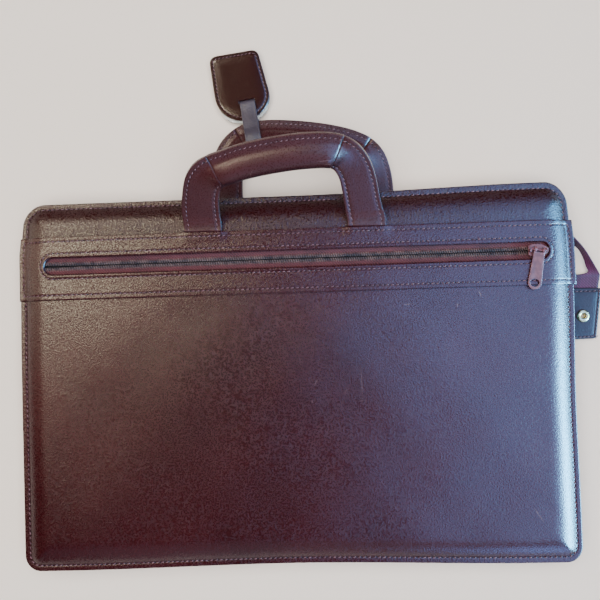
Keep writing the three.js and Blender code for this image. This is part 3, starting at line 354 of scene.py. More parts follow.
def loft(name, rings, material, closed=False):
    """A closed skin through rings of points, with its two ends capped unless it joins itself."""
    rings = np.asarray(rings)
    total, count = rings.shape[:2]
    faces = []
    for r in range(total if closed else total - 1):
        here, then = r * count, ((r + 1) % total) * count
        for i in range(count):
            j = (i + 1) % count
            faces.append([here + i, here + j, then + j, then + i])
    if not closed:
        faces.append(list(range(count))[::-1])
        faces.append([(total - 1) * count + i for i in range(count)])
    piece = make_mesh(name, rings.reshape(-1, 3), faces, material)
    turn_outwards(piece)
    return piece


def turn_outwards(piece):
    work = bmesh.new()
    work.from_mesh(piece.data)
    bmesh.ops.recalc_face_normals(work, faces=work.faces)
    if work.calc_volume(signed=True) < 0:
        bmesh.ops.reverse_faces(work, faces=work.faces)
    work.to_mesh(piece.data)
    work.free()


def rim_loft(name, route, profile, material):
    """A skin round the rim: its profile gives distances inwards and heights."""
    profile = np.asarray(profile, dtype=float)
    rings = []
    for x, y, nx, ny in route:
        ring = np.stack([x - nx * profile[:, 0], y - ny * profile[:, 0], profile[:, 1]], -1)
        rings.append(settle(ring))
    return loft(name, rings, material)


dark_calf = calf_leather("dark gusset calf", "#190a0e", "#2b1219", 0.34)
GUSSET_LEATHER, GUSSET_FOLD = 1.3, 2.2
fold = []
for i in range(17):
    t = i / 16
    fold.append((RIM_INSET + GUSSET_FOLD * math.sin(math.pi * t) ** 0.8,
        mix(RIM_TOP - GUSSET_LEATHER, RIM_BOTTOM + GUSSET_LEATHER, t)))
outer_side = [(1.3, RIM_TOP - 0.05), (1.2, RIM_TOP - 0.65), (1.3, RIM_TOP - 1.25),
    (RIM_INSET - 0.6, RIM_TOP - 1.3)] + fold
outer_side += [(RIM_INSET - 0.6, RIM_BOTTOM + 1.3), (1.3, RIM_BOTTOM + 1.25), (1.2, RIM_BOTTOM + 0.65),
    (1.3, RIM_BOTTOM + 0.05)]
inner_side = [(RIM_INSET + 1.3, RIM_BOTTOM)] + [(d + GUSSET_LEATHER, z) for d, z in fold[::-1]]
inner_side.append((RIM_INSET + 1.3, RIM_TOP))
stand_in(rim_loft("gusset_leather", outline_route(99, -1), outer_side + inner_side, dark_calf), "gusset")

# ---------------------------------------------------------------------------
# Main zip round the top: two woven tapes folded into the rim and a closed
# spiral coil between them; its slider is parked at the left end.
# ---------------------------------------------------------------------------
TAPE_THICK, TAPE_TURN, WEAVE_RIB = 0.7, 3.1, 0.00055


def woven_tape(name, deep, bright):
    """Polyester zip tape: a herringbone weave about half a millimetre across, matte with a soft sheen."""
    look = Finish(name)
    warp, weft = (put(look.tree, "ShaderNodeTexWave", {
        "Vector": look.place, "Scale": 0.314 / WEAVE_RIB / 2, "Distortion": 0.4},
        bands_direction=way).outputs["Fac"] for way in ("X", "DIAGONAL"))
    weave = look.maths("MULTIPLY", warp, weft)
    colour = look.ramp(look.maths("ADD", weave, look.noise(60.0, 4.0)), deep, bright, 0.35, 1.0)
    return look.done(colour, 0.8, Normal=look.bump(weave, 0.5, 0.0002), Specular_IOR_Level=0.25,
                     Sheen_Weight=0.12, Sheen_Roughness=0.4)


def rim_tape(edge, way):
    inner, turned = RIM_INSET + TAPE_THICK, edge + way * TAPE_TURN
    return [(1.2, edge), (1.2, edge + way * TAPE_THICK), (RIM_INSET, edge + way * TAPE_THICK),
        (RIM_INSET, turned), (inner, turned), (inner, edge)]


tape_cloth = woven_tape("burgundy polyester zip tape", "#2c0d10", "#5a282d")
zip_route = outline_route(ZIP_START, 1)
for side_name, edge, direction in (("front", RIM_TOP, -1), ("back", RIM_BOTTOM, 1)):
    tape = rim_loft(f"main_zip_tape_{side_name}_cloth", zip_route, rim_tape(edge, direction), tape_cloth)
    stand_in(tape, f"main_zip_tape_{side_name}")


def nylon(name, deep, bright, roughness):
    """Drawn nylon filament of the zip coils and the sewing thread: semi-gloss, slightly uneven in colour;
    near black, it also serves as painted shade in the pocket's mouth and in the needle holes.
    """
    look = Finish(name)
    colour = look.ramp(look.noise(160.0, 3.0), deep, bright)
    return look.done(colour, roughness, Normal=look.bump(look.noise(3000.0), 0.3, 0.0001),
        Specular_IOR_Level=0.2)


def repeated_along(name, tree_build, runs, settings):
    """Runs a Geometry Nodes tree on polylines with their surface directions, and keeps its plain mesh."""
    paths, ups = zip(*runs)
    points = np.concatenate(paths) / 1000
    starts = set(np.cumsum([len(path) for path in paths]).tolist())
    mesh = bpy.data.meshes.new(name + "_route")
    mesh.from_pydata(points.tolist(), [(i - 1, i) for i in range(1, len(points)) if i not in starts], [])
    attribute = mesh.attributes.new("surface_up", "FLOAT_VECTOR", "POINT")
    attribute.data.foreach_set("vector", np.concatenate(ups).astype(np.float32).ravel())
    route = add_object(name + "_route", mesh)
    modifier = route.modifiers.new("repeat", "NODES")
    modifier.node_group = tree_build
    for item in tree_build.interface.items_tree:
        if item.in_out == "INPUT" and item.name in settings:
            modifier[item.identifier] = settings[item.name]
    bpy.context.view_layer.update()
    evaluated = route.evaluated_get(bpy.context.evaluated_depsgraph_get())
    made = bpy.data.meshes.new_from_object(evaluated)
    made.name = name
    slots = list(made.materials)
    used = [entry for entry in slots if entry is not None]
    faces = [used.index(slots[face.material_index]) for face in made.polygons]
    made.materials.clear()
    for entry in used:
        made.materials.append(entry)
    made.polygons.foreach_set("material_index", faces)
    bpy.data.objects.remove(route)
    bpy.data.meshes.remove(mesh)
    return add_object(name, made)


def placed_along(tree, source, pitch, instance, twist=0.0):
    """Instances on a resampled path: X follows the path, Z follows the surface."""
    path = put(tree, "GeometryNodeMeshToCurve", {"Mesh": source}).outputs["Curve"]
    path = put(tree, "GeometryNodeResampleCurve", {"Curve": path, "Length": pitch},
        mode="LENGTH").outputs["Curve"]
    up = put(tree, "GeometryNodeInputNamedAttribute", {"Name": "surface_up"}, data_type="FLOAT_VECTOR")
    tangent = put(tree, "GeometryNodeInputTangent").outputs["Tangent"]
    turn = put(tree, "FunctionNodeAlignRotationToVector", {"Vector": up.outputs["Attribute"]}, axis="Z")
    turn = put(tree, "FunctionNodeAlignRotationToVector",
        {"Rotation": turn.outputs["Rotation"], "Vector": tangent}, axis="X", pivot_axis="Z")
    turn = put(tree, "FunctionNodeRotateRotation",
        {"Rotation": turn.outputs["Rotation"], "Rotate By": (0.0, 0.0, twist)}, rotation_space="LOCAL")
    return put(tree, "GeometryNodeInstanceOnPoints", {
        "Points": path, "Instance": instance, "Rotation": turn.outputs["Rotation"]}).outputs["Instances"]


def scaled(tree, value, factor):
    return put(tree, "ShaderNodeMath", {0: value, 1: factor}, operation="MULTIPLY").outputs[0]


def vector(tree, **parts):
    return put(tree, "ShaderNodeCombineXYZ", parts).outputs[0]


def coloured(tree, mesh, material):
    return put(tree, "GeometryNodeSetMaterial", {"Geometry": mesh, "Material": material}).outputs["Geometry"]


def strand(tree, start, middle, end, steps, radius, material):
    """A round filament that bows from start over middle to end."""
    bow = put(tree, "GeometryNodeCurveQuadraticBezier",
        {"Resolution": steps, "Start": start, "Middle": middle, "End": end})
    ring = put(tree, "GeometryNodeCurvePrimitiveCircle", {"Resolution": 6, "Radius": radius})
    mesh = put(tree, "GeometryNodeCurveToMesh",
        {"Curve": bow.outputs["Curve"], "Profile Curve": ring.outputs["Curve"], "Fill Caps": True})
    return coloured(tree, mesh.outputs["Mesh"], material)


def route_tree(name, measures):
    """A tree with a route, named measures and one result; gives the tree and its inputs."""
    tree = bpy.data.node_groups.new(name, "GeometryNodeTree")
    tree.interface.new_socket("Route", in_out="INPUT", socket_type="NodeSocketGeometry")
    for key, value in measures.items():
        tree.interface.new_socket(key, in_out="INPUT", socket_type="NodeSocketFloat").default_value = value
    tree.interface.new_socket("Result", in_out="OUTPUT", socket_type="NodeSocketGeometry")
    return tree, put(tree, "NodeGroupInput").outputs


def close_tree(tree, instances):
    whole = put(tree, "GeometryNodeRealizeInstances", {"Geometry": instances}).outputs["Geometry"]
    whole = put(tree, "GeometryNodeSetShadeSmooth", {"Geometry": whole}).outputs["Geometry"]
    put(tree, "NodeGroupOutput", {"Result": whole})
    return tree


def sewing_tree(thread, hole_shade_material):
    """Saddle stitches: a thread that dives in at both ends, and between two stitches a dark disc, the painted
    shade of the needle hole.
    """
    tree, given = route_tree("saddle stitches", {"Pitch": 0.0038, "Thread": 0.00034})
    pitch, thick = given["Pitch"], given["Thread"]
    reach, dip = scaled(tree, pitch, 0.27), scaled(tree, thick, -0.9)
    stitch = strand(tree, vector(tree, X=scaled(tree, reach, -1.0), Z=dip),
        vector(tree, Z=scaled(tree, thick, 2.2)), vector(tree, X=reach, Z=dip), 6, thick, thread)
    # The dark disc between two stitches is painted shade of the needle hole.
    hole = put(tree, "GeometryNodeMeshIcoSphere", {"Radius": 1.0, "Subdivisions": 1}).outputs["Mesh"]
    size = vector(tree, X=scaled(tree, pitch, 0.2), Y=scaled(tree, thick, 1.15), Z=scaled(tree, thick, 0.5))
    hole = put(tree, "GeometryNodeTransform",
        {"Geometry": hole, "Translation": vector(tree, X=scaled(tree, pitch, 0.5)),
        "Scale": size}).outputs["Geometry"]
    stitches = placed_along(tree, given["Route"], pitch, stitch, math.radians(20))
    both = put(tree, "GeometryNodeJoinGeometry", {"Geometry": stitches})
    tree.links.new(placed_along(tree, given["Route"], pitch, coloured(tree, hole, hole_shade_material)),
        both.inputs["Geometry"])
    return close_tree(tree, both.outputs["Geometry"])


def coil_tree(filament):
    """Zip coil: one bent loop of nylon for each tooth, each running from one tape's side to the other."""
    tree, given = route_tree("zip coil", {"Pitch": 0.0014, "Half Width": 0.0024})
    wide, lean = given["Half Width"], scaled(tree, given["Pitch"], 0.3)
    start = vector(tree, X=scaled(tree, lean, -1.0), Y=scaled(tree, wide, -1.0), Z=-0.0005)
    tooth = strand(tree, start, vector(tree, Z=scaled(tree, wide, 0.42)),
        vector(tree, X=lean, Y=wide, Z=-0.0005), 8, lean, filament)
    return close_tree(tree, placed_along(tree, given["Route"], given["Pitch"], tooth))


COIL_INSET = 6.4
coils = coil_tree(nylon("grey-brown nylon coil", "#3c2d2e", "#6c5957", 0.6))
rim_path = np.column_stack([zip_route[:, :2] - zip_route[:, 2:] * COIL_INSET,
    np.full(len(zip_route), RIM_MIDDLE)])
rim_up = np.column_stack([zip_route[:, 2:], np.zeros(len(zip_route))])
main_coil = repeated_along("main_zip_coil", coils, [(settle(rim_path), rim_up)],
    {"Pitch": 0.0016, "Half Width": 0.0026})
stand_in(main_coil, "main_zip_chain")

# ---------------------------------------------------------------------------
# Front leather: the large lower panel, blocked over padding so that it rises
# from a flat sewn edge to a softly crowned middle.
# ---------------------------------------------------------------------------
WINDOW_X, WINDOW_Y = 1.6, BAND_HIGH - 22.3
WINDOW_HALF, WINDOW_HIGH = HALF_W - 20.9, 6.2
TAPE_END = WINDOW_HALF + 8.9
WELL_LOW, WELL_HIGH = WINDOW_Y - 12.9, WINDOW_Y + 12.9
LEATHER, RIM_LEVEL, CROWN = 2.0, 23.0, 2.0
WELL_DEPTH, WELL_UNDER = 2.35, 1.3
# Shallow hollows and swells of the relaxed leather: middle, reach and depth as shares of the case.
HOLLOWS = ((0.61, -0.67, 0.3, 0.22, 0.1), (-0.46, -0.22, 0.33, 0.33, 0.085),
           (0.19, 0.04, 0.29, 0.25, -0.07), (-0.72, -0.75, 0.19, 0.19, -0.055))


def front_surface(x, y):
    share = dome_share(inset(x, y), DOME_WIDTH)
    crown = (1 - (x / HALF_W) ** 2) * (1 - (y / HALF_H) ** 2)
    height = RIM_LEVEL + DOME_RISE * share + CROWN * np.maximum(0, crown)
    for hx, hy, across, along, depth in HOLLOWS:
        away = ((x / HALF_W - hx) / across) ** 2 + ((y / HALF_H - hy) / along) ** 2
        height = height - depth * DOME_RISE * share * np.exp(-away)
    return height


def slackness(x, y):
    """Long soft waves of leather that has relaxed with use."""
    wave = 0.16 * np.sin(x / 31 + 0.7) * np.sin(y / 23 - 0.4) + 0.1 * np.sin(x / 13 - y / 19 + 1.3)
    wave += 0.07 * np.sin(x / 9.5 + y / 12 + 2.1)
    fold_x, fold_y = x - 185, y + 100
    wave -= 0.32 * np.exp(-(((fold_x + fold_y) / 4.4) ** 2) - ((fold_x - fold_y) / 17) ** 2)
    return wave * dome_share(inset(x, y), 26.0)


def in_well(x, y):
    across = smooth((TAPE_END + 1.2 - np.abs(x)) / 1.0)
    return across * smooth((y - WELL_LOW + 1.0) / 0.9)


def front_top(x, y):
    d = inset(x, y)
    z = front_surface(x, y) + slackness(x, y) * smooth((BAND_LOW - y) / 14)
    return z - edge_round(d, CUT_EDGE) - sewn_groove(d) - WELL_DEPTH * in_well(x, y)


def front_low(x, y):
    z = front_surface(x, y) - LEATHER + edge_round(inset(x, y), CUT_EDGE)
    return z - WELL_UNDER * in_well(x, y) + np.minimum(0, slackness(x, y))


front_rows = lines_between(-HALF_H, BAND_LOW, FINE, [0, 2.5, 5], 4)
front_rows = np.array(sorted([*front_rows, *np.arange(67, WELL_LOW - 2, 3), WELL_LOW - 1.2, WELL_LOW - 0.9,
    WELL_LOW - 0.5, WELL_LOW, *np.arange(WELL_LOW + 3, WELL_HIGH - 1, 3), WELL_HIGH]))
front_columns = np.array(sorted([*columns, -TAPE_END - 1.2, -TAPE_END - 0.6, -TAPE_END, TAPE_END,
    TAPE_END + 0.6, TAPE_END + 1.2]))
front = leather_sheet("front_leather", front_columns, front_rows, half_width_at, front_top, front_low,
    oxblood)
stand_in(front, "front_panel")

# ---------------------------------------------------------------------------
# Top strip of the front: calf with a slightly coarser grain, sewn to the
# main zip along its rounded top edge.
# ---------------------------------------------------------------------------
strip_calf = calf_leather("grained oxblood calf", "#1c0405", "#300909", 0.22, grain=1.25, crease=0.35,
    relief=1.5)


def strip_top(x, y):
    d = inset(x, y)
    return front_surface(x, y) + 0.7 * slackness(x, y) - edge_round(d, CUT_EDGE) - sewn_groove(d)


strip_low = lambda x, y: front_surface(x, y) - LEATHER + edge_round(inset(x, y), CUT_EDGE)
strip_rows = lines_between(WELL_HIGH + 0.3, HALF_H, [0, 3, 6], FINE[:26], 2)
strip = leather_sheet("top_strip_leather", columns, strip_rows, half_width_at, strip_top, strip_low,
    strip_calf)
stand_in(strip, "top_strip")

# ---------------------------------------------------------------------------
# Pocket zip: two cloth tapes and a nylon coil that lie in the band's window.
# ---------------------------------------------------------------------------
def tape_top(x, y):
    near_coil = np.exp(-(((np.abs(y - WINDOW_Y) - 2.6) / 0.8) ** 2))
    return front_surface(x, y) - 0.4 - 0.12 * near_coil


pocket_columns = np.linspace(-TAPE_END, TAPE_END, 90)
for half_name, low, high in (("lower", WELL_LOW, WINDOW_Y - 1.9), ("upper", WINDOW_Y + 1.9, WELL_HIGH)):
    tape = leather_sheet(f"pocket_tape_{half_name}_cloth", pocket_columns, np.linspace(low, high, 12),
        flat_width, tape_top, lambda x, y: tape_top(x, y) - 0.8, tape_cloth)
    stand_in(tape, f"pocket_tape_{half_name}")
xs = np.linspace(-TAPE_END + 4, TAPE_END - 4, 120)
pocket_runs = []
for sign in (-1, 1):
    ys = WINDOW_Y + sign * (1.8 + 0.45 * smooth((-150 - xs) / 34))
    pocket_runs.append((settle(np.stack([xs, ys, front_surface(xs, ys) - 0.05], -1)),
        np.tile([0.0, sign * 0.12, 0.99], (len(xs), 1))))
pocket_coil = repeated_along("pocket_zip_coil", coils, pocket_runs, {"Pitch": 0.0013, "Half Width": 0.0013})
stand_in(pocket_coil, "pocket_chain")
# A near-black sheet under the coils: painted shade in the pocket's mouth, seen in the gap between the two
# coil rows.
mouth_shade = nylon("black painted shade of the pocket mouth", "#060405", "#0c0709", 0.8)
mouth = leather_sheet("pocket_mouth_painted_shade", np.linspace(-TAPE_END + 2, TAPE_END - 2, 60),
    np.linspace(WINDOW_Y - 1.6, WINDOW_Y + 1.6, 4), flat_width, lambda x, y: front_surface(x, y) - 1.5,
    lambda x, y: front_surface(x, y) - 2.1, mouth_shade)
stand_in(mouth, None)

# ---------------------------------------------------------------------------
# Band across the front: calf cut round a long window with its edge turned
# under, sewn on round the window and along both long edges.
# ---------------------------------------------------------------------------
FRONT_LEGS, LEG_WIDTH = (-65.2, 57.6), 28.4
BAND_X, WINDOW_STITCH_IN = 0.6, 3.4
BAND_HALF = HALF_W + BAND_X
WINDOW_REACH = WINDOW_HALF - WINDOW_HIGH


def stadium_point(kind, t, offset):
    """Point on the window's outline grown by offset: kind names its straight or round part."""
    radius = WINDOW_HIGH + offset
    if kind in ("low", "high"):
        way = -1 if kind == "low" else 1
        return WINDOW_X + way * mix(WINDOW_REACH, -WINDOW_REACH, t), WINDOW_Y + way * radius
    way = 1 if kind == "right" else -1
    a = math.pi * (t - way / 2)
    return WINDOW_X + way * WINDOW_REACH + radius * math.cos(a), WINDOW_Y + radius * math.sin(a)


def band_point(kind, t, offset):
    """Matching point on the band's own outline, moved inwards by offset."""
    low, high, half = BAND_LOW + offset, BAND_HIGH - offset, BAND_HALF - offset
    if kind == "low":
        return WINDOW_X + mix(-WINDOW_REACH, WINDOW_REACH, t), low
    if kind == "high":
        return WINDOW_X + mix(WINDOW_REACH, -WINDOW_REACH, t), high
    sign = 1 if kind == "right" else -1
    near, far = (low, high) if sign > 0 else (high, low)
    inner, outer = WINDOW_X + WINDOW_REACH * sign, BAND_X + half * sign
    corners = [(inner, near), (outer, near), (outer, far), (inner, far)]
    third = min(2, int(t * 3 + 1e-9))
    a, b = corners[third], corners[third + 1]
    share = t * 3 - third
    return mix(a[0], b[0], share), mix(a[1], b[1], share)


def plate_faces(rings, count):
    """Faces of a closed plate: rings of points on its upper face, then the same rings on its lower face."""
    layer, end, faces = rings * count, (rings - 1) * count, []
    for a in range(end):
        b = a + 1 if (a + 1) % count else a + 1 - count
        c, d = b + count, a + count
        faces += [[a, d, c, b], [layer + a, layer + b, layer + c, layer + d]]
    for i in range(count):
        j = (i + 1) % count
        faces += [[i, j, layer + j, layer + i], [end + i, layer + end + i, layer + end + j, end + j]]
    return faces


window_steps = [("low", i / 104) for i in range(104)] + [("right", i / 36) for i in range(36)]
window_steps += [("high", i / 104) for i in range(104)] + [("left", i / 36) for i in range(36)]
near_window = [0, 0.1, 0.3, 0.6, 1.0, 1.5, 2.0, 2.4, 2.8, 3.2, 3.6, 4.0, 4.5, 5.2, 6.2]
near_edge = [6.4, 5.4, 4.8, 4.3, 3.9, 3.5, 3.1, 2.7, 2.2, 1.6, 1.0, 0.6, 0.3, 0.12, 0]
loops = [[stadium_point(k, t, d) for k, t in window_steps] for d in near_window]
last_in = loops[-1]
first_out = [band_point(k, t, near_edge[0]) for k, t in window_steps]
for share in (0.14, 0.28, 0.42, 0.57, 0.72, 0.86):
    loops.append([(mix(a[0], b[0], share), mix(a[1], b[1], share)) for a, b in zip(last_in, first_out)])
loops += [[band_point(k, t, d) for k, t in window_steps] for d in near_edge]
loops = np.array(loops)


def band_gaps(x, y):
    """Distances from the window's edge and from the band's own edge."""
    past = np.maximum(np.abs(x - WINDOW_X) - WINDOW_REACH, 0)
    from_edge = np.minimum(BAND_HALF - np.abs(x - BAND_X), np.minimum(y - BAND_LOW, BAND_HIGH - y))
    return np.maximum(np.hypot(past, y - WINDOW_Y) - WINDOW_HIGH, 0), np.maximum(from_edge, 0)


def leg_bulge(x, y):
    """The band rises where a handle leg is caught under its upper edge."""
    total = 0
    for centre in FRONT_LEGS:
        total = total + smooth((LEG_WIDTH / 2 + 3.5 - np.abs(x - centre)) / 3.5)
    return 0.9 * total * smooth((y - BAND_HIGH + 11) / 11)


def band_top(x, y):
    gap_in, gap_out = band_gaps(x, y)
    z = front_surface(x - BAND_X, y) + BAND_RECESS + 0.6 * slackness(x, y) + leg_bulge(x, y)
    z = z - edge_round(gap_in, 1.0) - edge_round(gap_out, 0.8)
    z = z - sewn_groove(gap_in, WINDOW_STITCH_IN, 0.22, 0.6) - sewn_groove(gap_out, BAND_STITCH_IN, 0.22, 0.6)
    return z + 0.18 * np.exp(-(((gap_in - 1.5) / 1.0) ** 2))


def band_low(x, y):
    gap_in, gap_out = band_gaps(x, y)
    z = front_surface(x - BAND_X, y) + 0.3 + edge_round(gap_in, 1.0) * 0.8 + edge_round(gap_out, 0.8)
    return z + np.minimum(0, 0.6 * slackness(x, y)) + leg_bulge(x, y) * smooth((gap_out - 0.8) / 2)


flat = loops.reshape(-1, 2)
both_faces = np.concatenate([np.column_stack([flat, side(flat[:, 0], flat[:, 1])])
    for side in (band_top, band_low)])
band = make_mesh("pocket_band_leather", settle(both_faces), plate_faces(*loops.shape[:2]), oxblood)
turn_outwards(band)
stand_in(band, "pocket_band")

# ---------------------------------------------------------------------------
# Handles: each has two flat legs of doubled calf, caught under a band, and a
# grip rolled round a soft core with its seam on the outer edge.
# ---------------------------------------------------------------------------
HANDLE_TILT, HANDLE_BEND, ROLL, LEG_HALF = math.radians(42), 14.0, 7.5, 1.8
HANDLE_GAP, BACK_LIFTED, SEAM_DIP = 0.3, 10.0, 0.86
# A leg's half section: share across, half thickness of the roll and of the flat leg, both as shares.
SECTION = np.array([(-1, 0.06, 0.55), (-0.99, 0.24, 0.86), (-0.955, 0.42, 0.97), (-0.75, 0.8, 0.98),
    (-0.45, 1, 1), (-0.1, 0.95, 1), (0.2, 0.68, 1), (0.42, 0.38, 1), (0.62, 0.26, 0.99), (0.955, 0.22, 0.97),
    (0.99, 0.19, 0.86), (1, 0.1, 0.55)])
# Stations along each handle, as shares: across, along, width, lift, full.
FRONT_HANDLE = np.array([(-1, 0.0, 1, 0, 0), (-1, 0.079, 1, 0, 0), (-1.01, 0.189, 1.007, 0, 0),
    (-1.007, 0.331, 0.993, 0, 0), (-0.987, 0.481, 0.965, 0, 0), (-0.941, 0.628, 0.965, 0, 0.08),
    (-0.863, 0.729, 0.965, 0, 0.3), (-0.762, 0.789, 0.937, 0, 0.8), (-0.622, 0.836, 0.93, 0, 1),
    (-0.41, 0.899, 0.951, 0, 1), (-0.101, 0.956, 0.958, 0, 1), (0.192, 0.991, 0.958, 0, 1),
    (0.42, 1, 0.951, 0, 1), (0.567, 0.992, 0.937, 0, 1), (0.668, 0.967, 0.93, 0, 0.76),
    (0.762, 0.905, 0.915, 0, 0.22), (0.837, 0.804, 0.901, 0, 0.04), (0.889, 0.678, 0.901, 0, 0),
    (0.925, 0.521, 0.915, 0, 0), (0.951, 0.347, 0.937, 0, 0), (0.977, 0.189, 0.965, 0, 0),
    (1, 0.079, 1, 0, 0), (1, 0.0, 1, 0, 0)])
BACK_HANDLE = np.array([(-1, -0.02, 1, 0, 0), (-1, 0.068, 1, 0, 0), (-1, 0.243, 0.972, 0, 0),
    (-0.993, 0.405, 0.958, 0, 0), (-0.98, 0.541, 0.944, 0.35, 0.05), (-0.953, 0.662, 0.93, 0.75, 0.2),
    (-0.902, 0.776, 0.923, 1, 0.45), (-0.828, 0.873, 0.93, 1, 0.75), (-0.72, 0.946, 0.944, 1, 0.92),
    (-0.562, 0.989, 0.951, 1, 1), (-0.383, 1, 0.958, 1, 1), (-0.079, 0.986, 0.958, 1, 1),
    (0.191, 0.959, 0.958, 1, 1), (0.427, 0.924, 0.951, 1, 1), (0.656, 0.87, 0.951, 1, 1),
    (0.845, 0.795, 0.944, 1, 0.76), (0.943, 0.703, 0.944, 0.95, 0.2), (1.0, 0.589, 0.944, 0.55, 0.03),
    (1.024, 0.473, 0.951, 0.2, 0), (1.031, 0.351, 0.965, 0, 0), (1.028, 0.203, 0.979, 0, 0),
    (1.015, 0.068, 1, 0, 0), (1.01, -0.02, 1, 0, 0)])


def curve_through(rows, steps):
    """A smooth run of rows through the given ones, with that many steps in each stretch."""
    rows = np.asarray(rows, dtype=float)
    padded = np.concatenate([2 * rows[:1] - rows[1:2], rows, 2 * rows[-1:] - rows[-2:-1]])
    made = []
    for i in range(len(rows) - 1):
        a, b, c, d = padded[i:i + 4]
        for s in range(steps):
            t = s / steps
            bend = (2 * a - 5 * b + 4 * c - d) * t * t + (3 * b - a - 3 * c + d) * t**3
            made.append(0.5 * (2 * b + (c - a) * t + bend))
    made.append(rows[-1])
    return np.array(made)


def raised_point(across, along, height, base):
    turned = HANDLE_TILT * np.clip(along / HANDLE_BEND, 0, 1)
    radius = HANDLE_BEND / HANDLE_TILT
    past = np.maximum(0, along - HANDLE_BEND)
    y = np.where(along > 0, radius * np.sin(turned) + past * math.cos(HANDLE_TILT), along)
    z = np.where(along > 0, radius * (1 - np.cos(turned)) + past * math.sin(HANDLE_TILT), 0)
    return np.stack([across, BAND_HIGH + y - height * np.sin(turned), base + z + height * np.cos(turned)], -1)


def flat_point(across, along, height, base):
    return np.stack([across, BAND_HIGH + along, base - height], -1)


STEPS = 6
half_section = curve_through(SECTION, 4)
ring_section = np.concatenate([half_section, half_section[::-1] * [1, -1, -1]])


class Handle:
    """One handle as a skin over (station, across): legs flat, grip padded, all in the handle's own plane."""

    def __init__(self, table, centre, spread, reach, place, base, lift_height, seams):
        rows = curve_through(table, STEPS)
        self.across = centre + rows[:, 0] * spread
        self.along = rows[:, 1] * reach
        self.half = rows[:, 2] * LEG_WIDTH / 2
        self.lift = rows[:, 3] * lift_height
        self.full = np.clip(rows[:, 4], 0, 1)
        self.place, self.base = place, base
        self.seams = [s * STEPS for s in seams]
        middle = np.stack([self.across, self.along], -1)
        tangent = np.gradient(middle, axis=0)
        self.tangent = tangent / np.linalg.norm(tangent, axis=1)[:, None]

    def point(self, i, a, roll, flat, shift=0.0, puff=0.0):
        """Point at station i, share a across, on a section of the given roll and flat shares."""
        height = mix(flat * LEG_HALF, roll * ROLL, self.full[i])
        height = height + np.sign(height) * puff
        tx, ty = self.tangent[i]
        across = self.across[i] + tx * shift - ty * a * self.half[i]
        along = self.along[i] + ty * shift + tx * a * self.half[i]
        return self.place(across, along, height - self.lift[i], self.base)

    def ring(self, i, shift=0.0, puff=0.0, pinch=1.0):
        a, roll, flat = ring_section.T
        outer = 1 - 0.2 * np.exp(-(((a - 0.76) / 0.05) ** 2)) * (1 - 0.25 * self.full[i])
        inner = 1 - 0.2 * np.exp(-(((a + 0.76) / 0.05) ** 2)) * (1 - self.full[i])
        dent = outer * inner
        return settle(self.point(i, a * pinch, roll * dent, flat * dent, shift, puff))

    def seam_line(self, first, last, a, flip):
        """Points and surface directions along the handle at one share of its width, on its visible side."""
        roll, flat = (np.interp([a], half_section[:, 0], half_section[:, k]) * SEAM_DIP * flip
            for k in (1, 2))

        def at(i, share):
            return settle(self.point(i, np.array([share]), roll, flat))[0]

        points, ups = [], []
        for i in range(first, last + 1):
            run = at(min(i + 1, len(self.across) - 1), a) - at(max(i - 1, 0), a)
            up = np.cross(run, at(i, a + 0.05) - at(i, a))
            points.append(at(i, a))
            ups.append(up / np.linalg.norm(up))
        return np.array(points), np.array(ups)


STRIP_LEVEL = float(front_surface(np.array(0.0), np.array(BAND_HIGH)))
front_handle = Handle(FRONT_HANDLE, -3.8, 61.4, 63.4, raised_point, STRIP_LEVEL + HANDLE_GAP + LEG_HALF, 0.0,
    (7, 14))
back_handle = Handle(BACK_HANDLE, 6.7, 59.3, 74.0, flat_point, HANDLE_GAP + LEG_HALF,
    BACK_LIFTED - HANDLE_GAP - LEG_HALF, (8, 15))
handle_calf = calf_leather("handle oxblood calf", "#2c1012", "#452024", 0.27, relief=0.6, crease=0.12,
    shine=0.42, scratches=((28, 153, 0.05, 12, 0.25), (30, 151, 0.1, 8, 0.2), (-24, 147, 1.0, 7, 0.25),
    (-40, 131, 1.55, 12, 0.22)))
for side_name, handle in (("front", front_handle), ("back", back_handle)):
    first, last = handle.seams
    end = len(handle.across) - 1
    left = [handle.ring(i, puff=-0.45 * smooth((i - first + 4) / 3)) for i in range(0, first + 1)]
    right = [handle.ring(i, puff=-0.45 * smooth((last + 4 - i) / 3)) for i in range(last, end + 1)]
    grip = [handle.ring(first, 0.25, -1.1, 0.97), handle.ring(first, 0.0, -0.4, 0.99),
        handle.ring(first, 0.15, 0.05)]
    grip += [handle.ring(i, puff=0.1 * math.exp(-min(i - first, last - i) / 1.5))
        for i in range(first + 1, last)]
    grip += [handle.ring(last, -0.15, 0.05), handle.ring(last, 0.0, -0.4, 0.99),
        handle.ring(last, -0.25, -1.1, 0.97)]
    for part_name, part_rings in (("leg_left", left), ("grip", grip), ("leg_right", right)):
        part = loft(f"handle_{side_name}_{part_name}_leather", part_rings, handle_calf)
        stand_in(part, f"handle_{side_name}_{part_name}")

# ---------------------------------------------------------------------------
# Luggage tag: two faces of calf with a clear sleeve between them, hung on
# the back handle's grip by a flat strap through its slot.
# ---------------------------------------------------------------------------
TAG_LEAN, TAG_HALF, TAG_LENGTH, TAG_CENTRE = math.radians(9), 21.4, 54.6, -3.0
SLOT_NEAR, SLOT_LENGTH, SLOT_HALF_X, SLOT_HALF_Y = -2.2, 4.2, 6.35, 1.25
TAG_SHAPE = ((-0.951, 0.664), (-0.874, 0.708), (-0.733, 0.727), (0.709, 0.708), (0.835, 0.679),
    (0.874, 0.627), (1, 0.074), (0.971, -0.018), (0.845, -0.111), (0.612, -0.196), (0.369, -0.247),
    (0, -0.273), (-0.369, -0.247), (-0.66, -0.177), (-0.874, -0.077), (-0.981, 0.03), (-1, 0.148))
STRAP_DROP = 31.4
tag_x = 6.7 - 0.562 * 59.3 - STRAP_DROP * math.sin(TAG_LEAN)
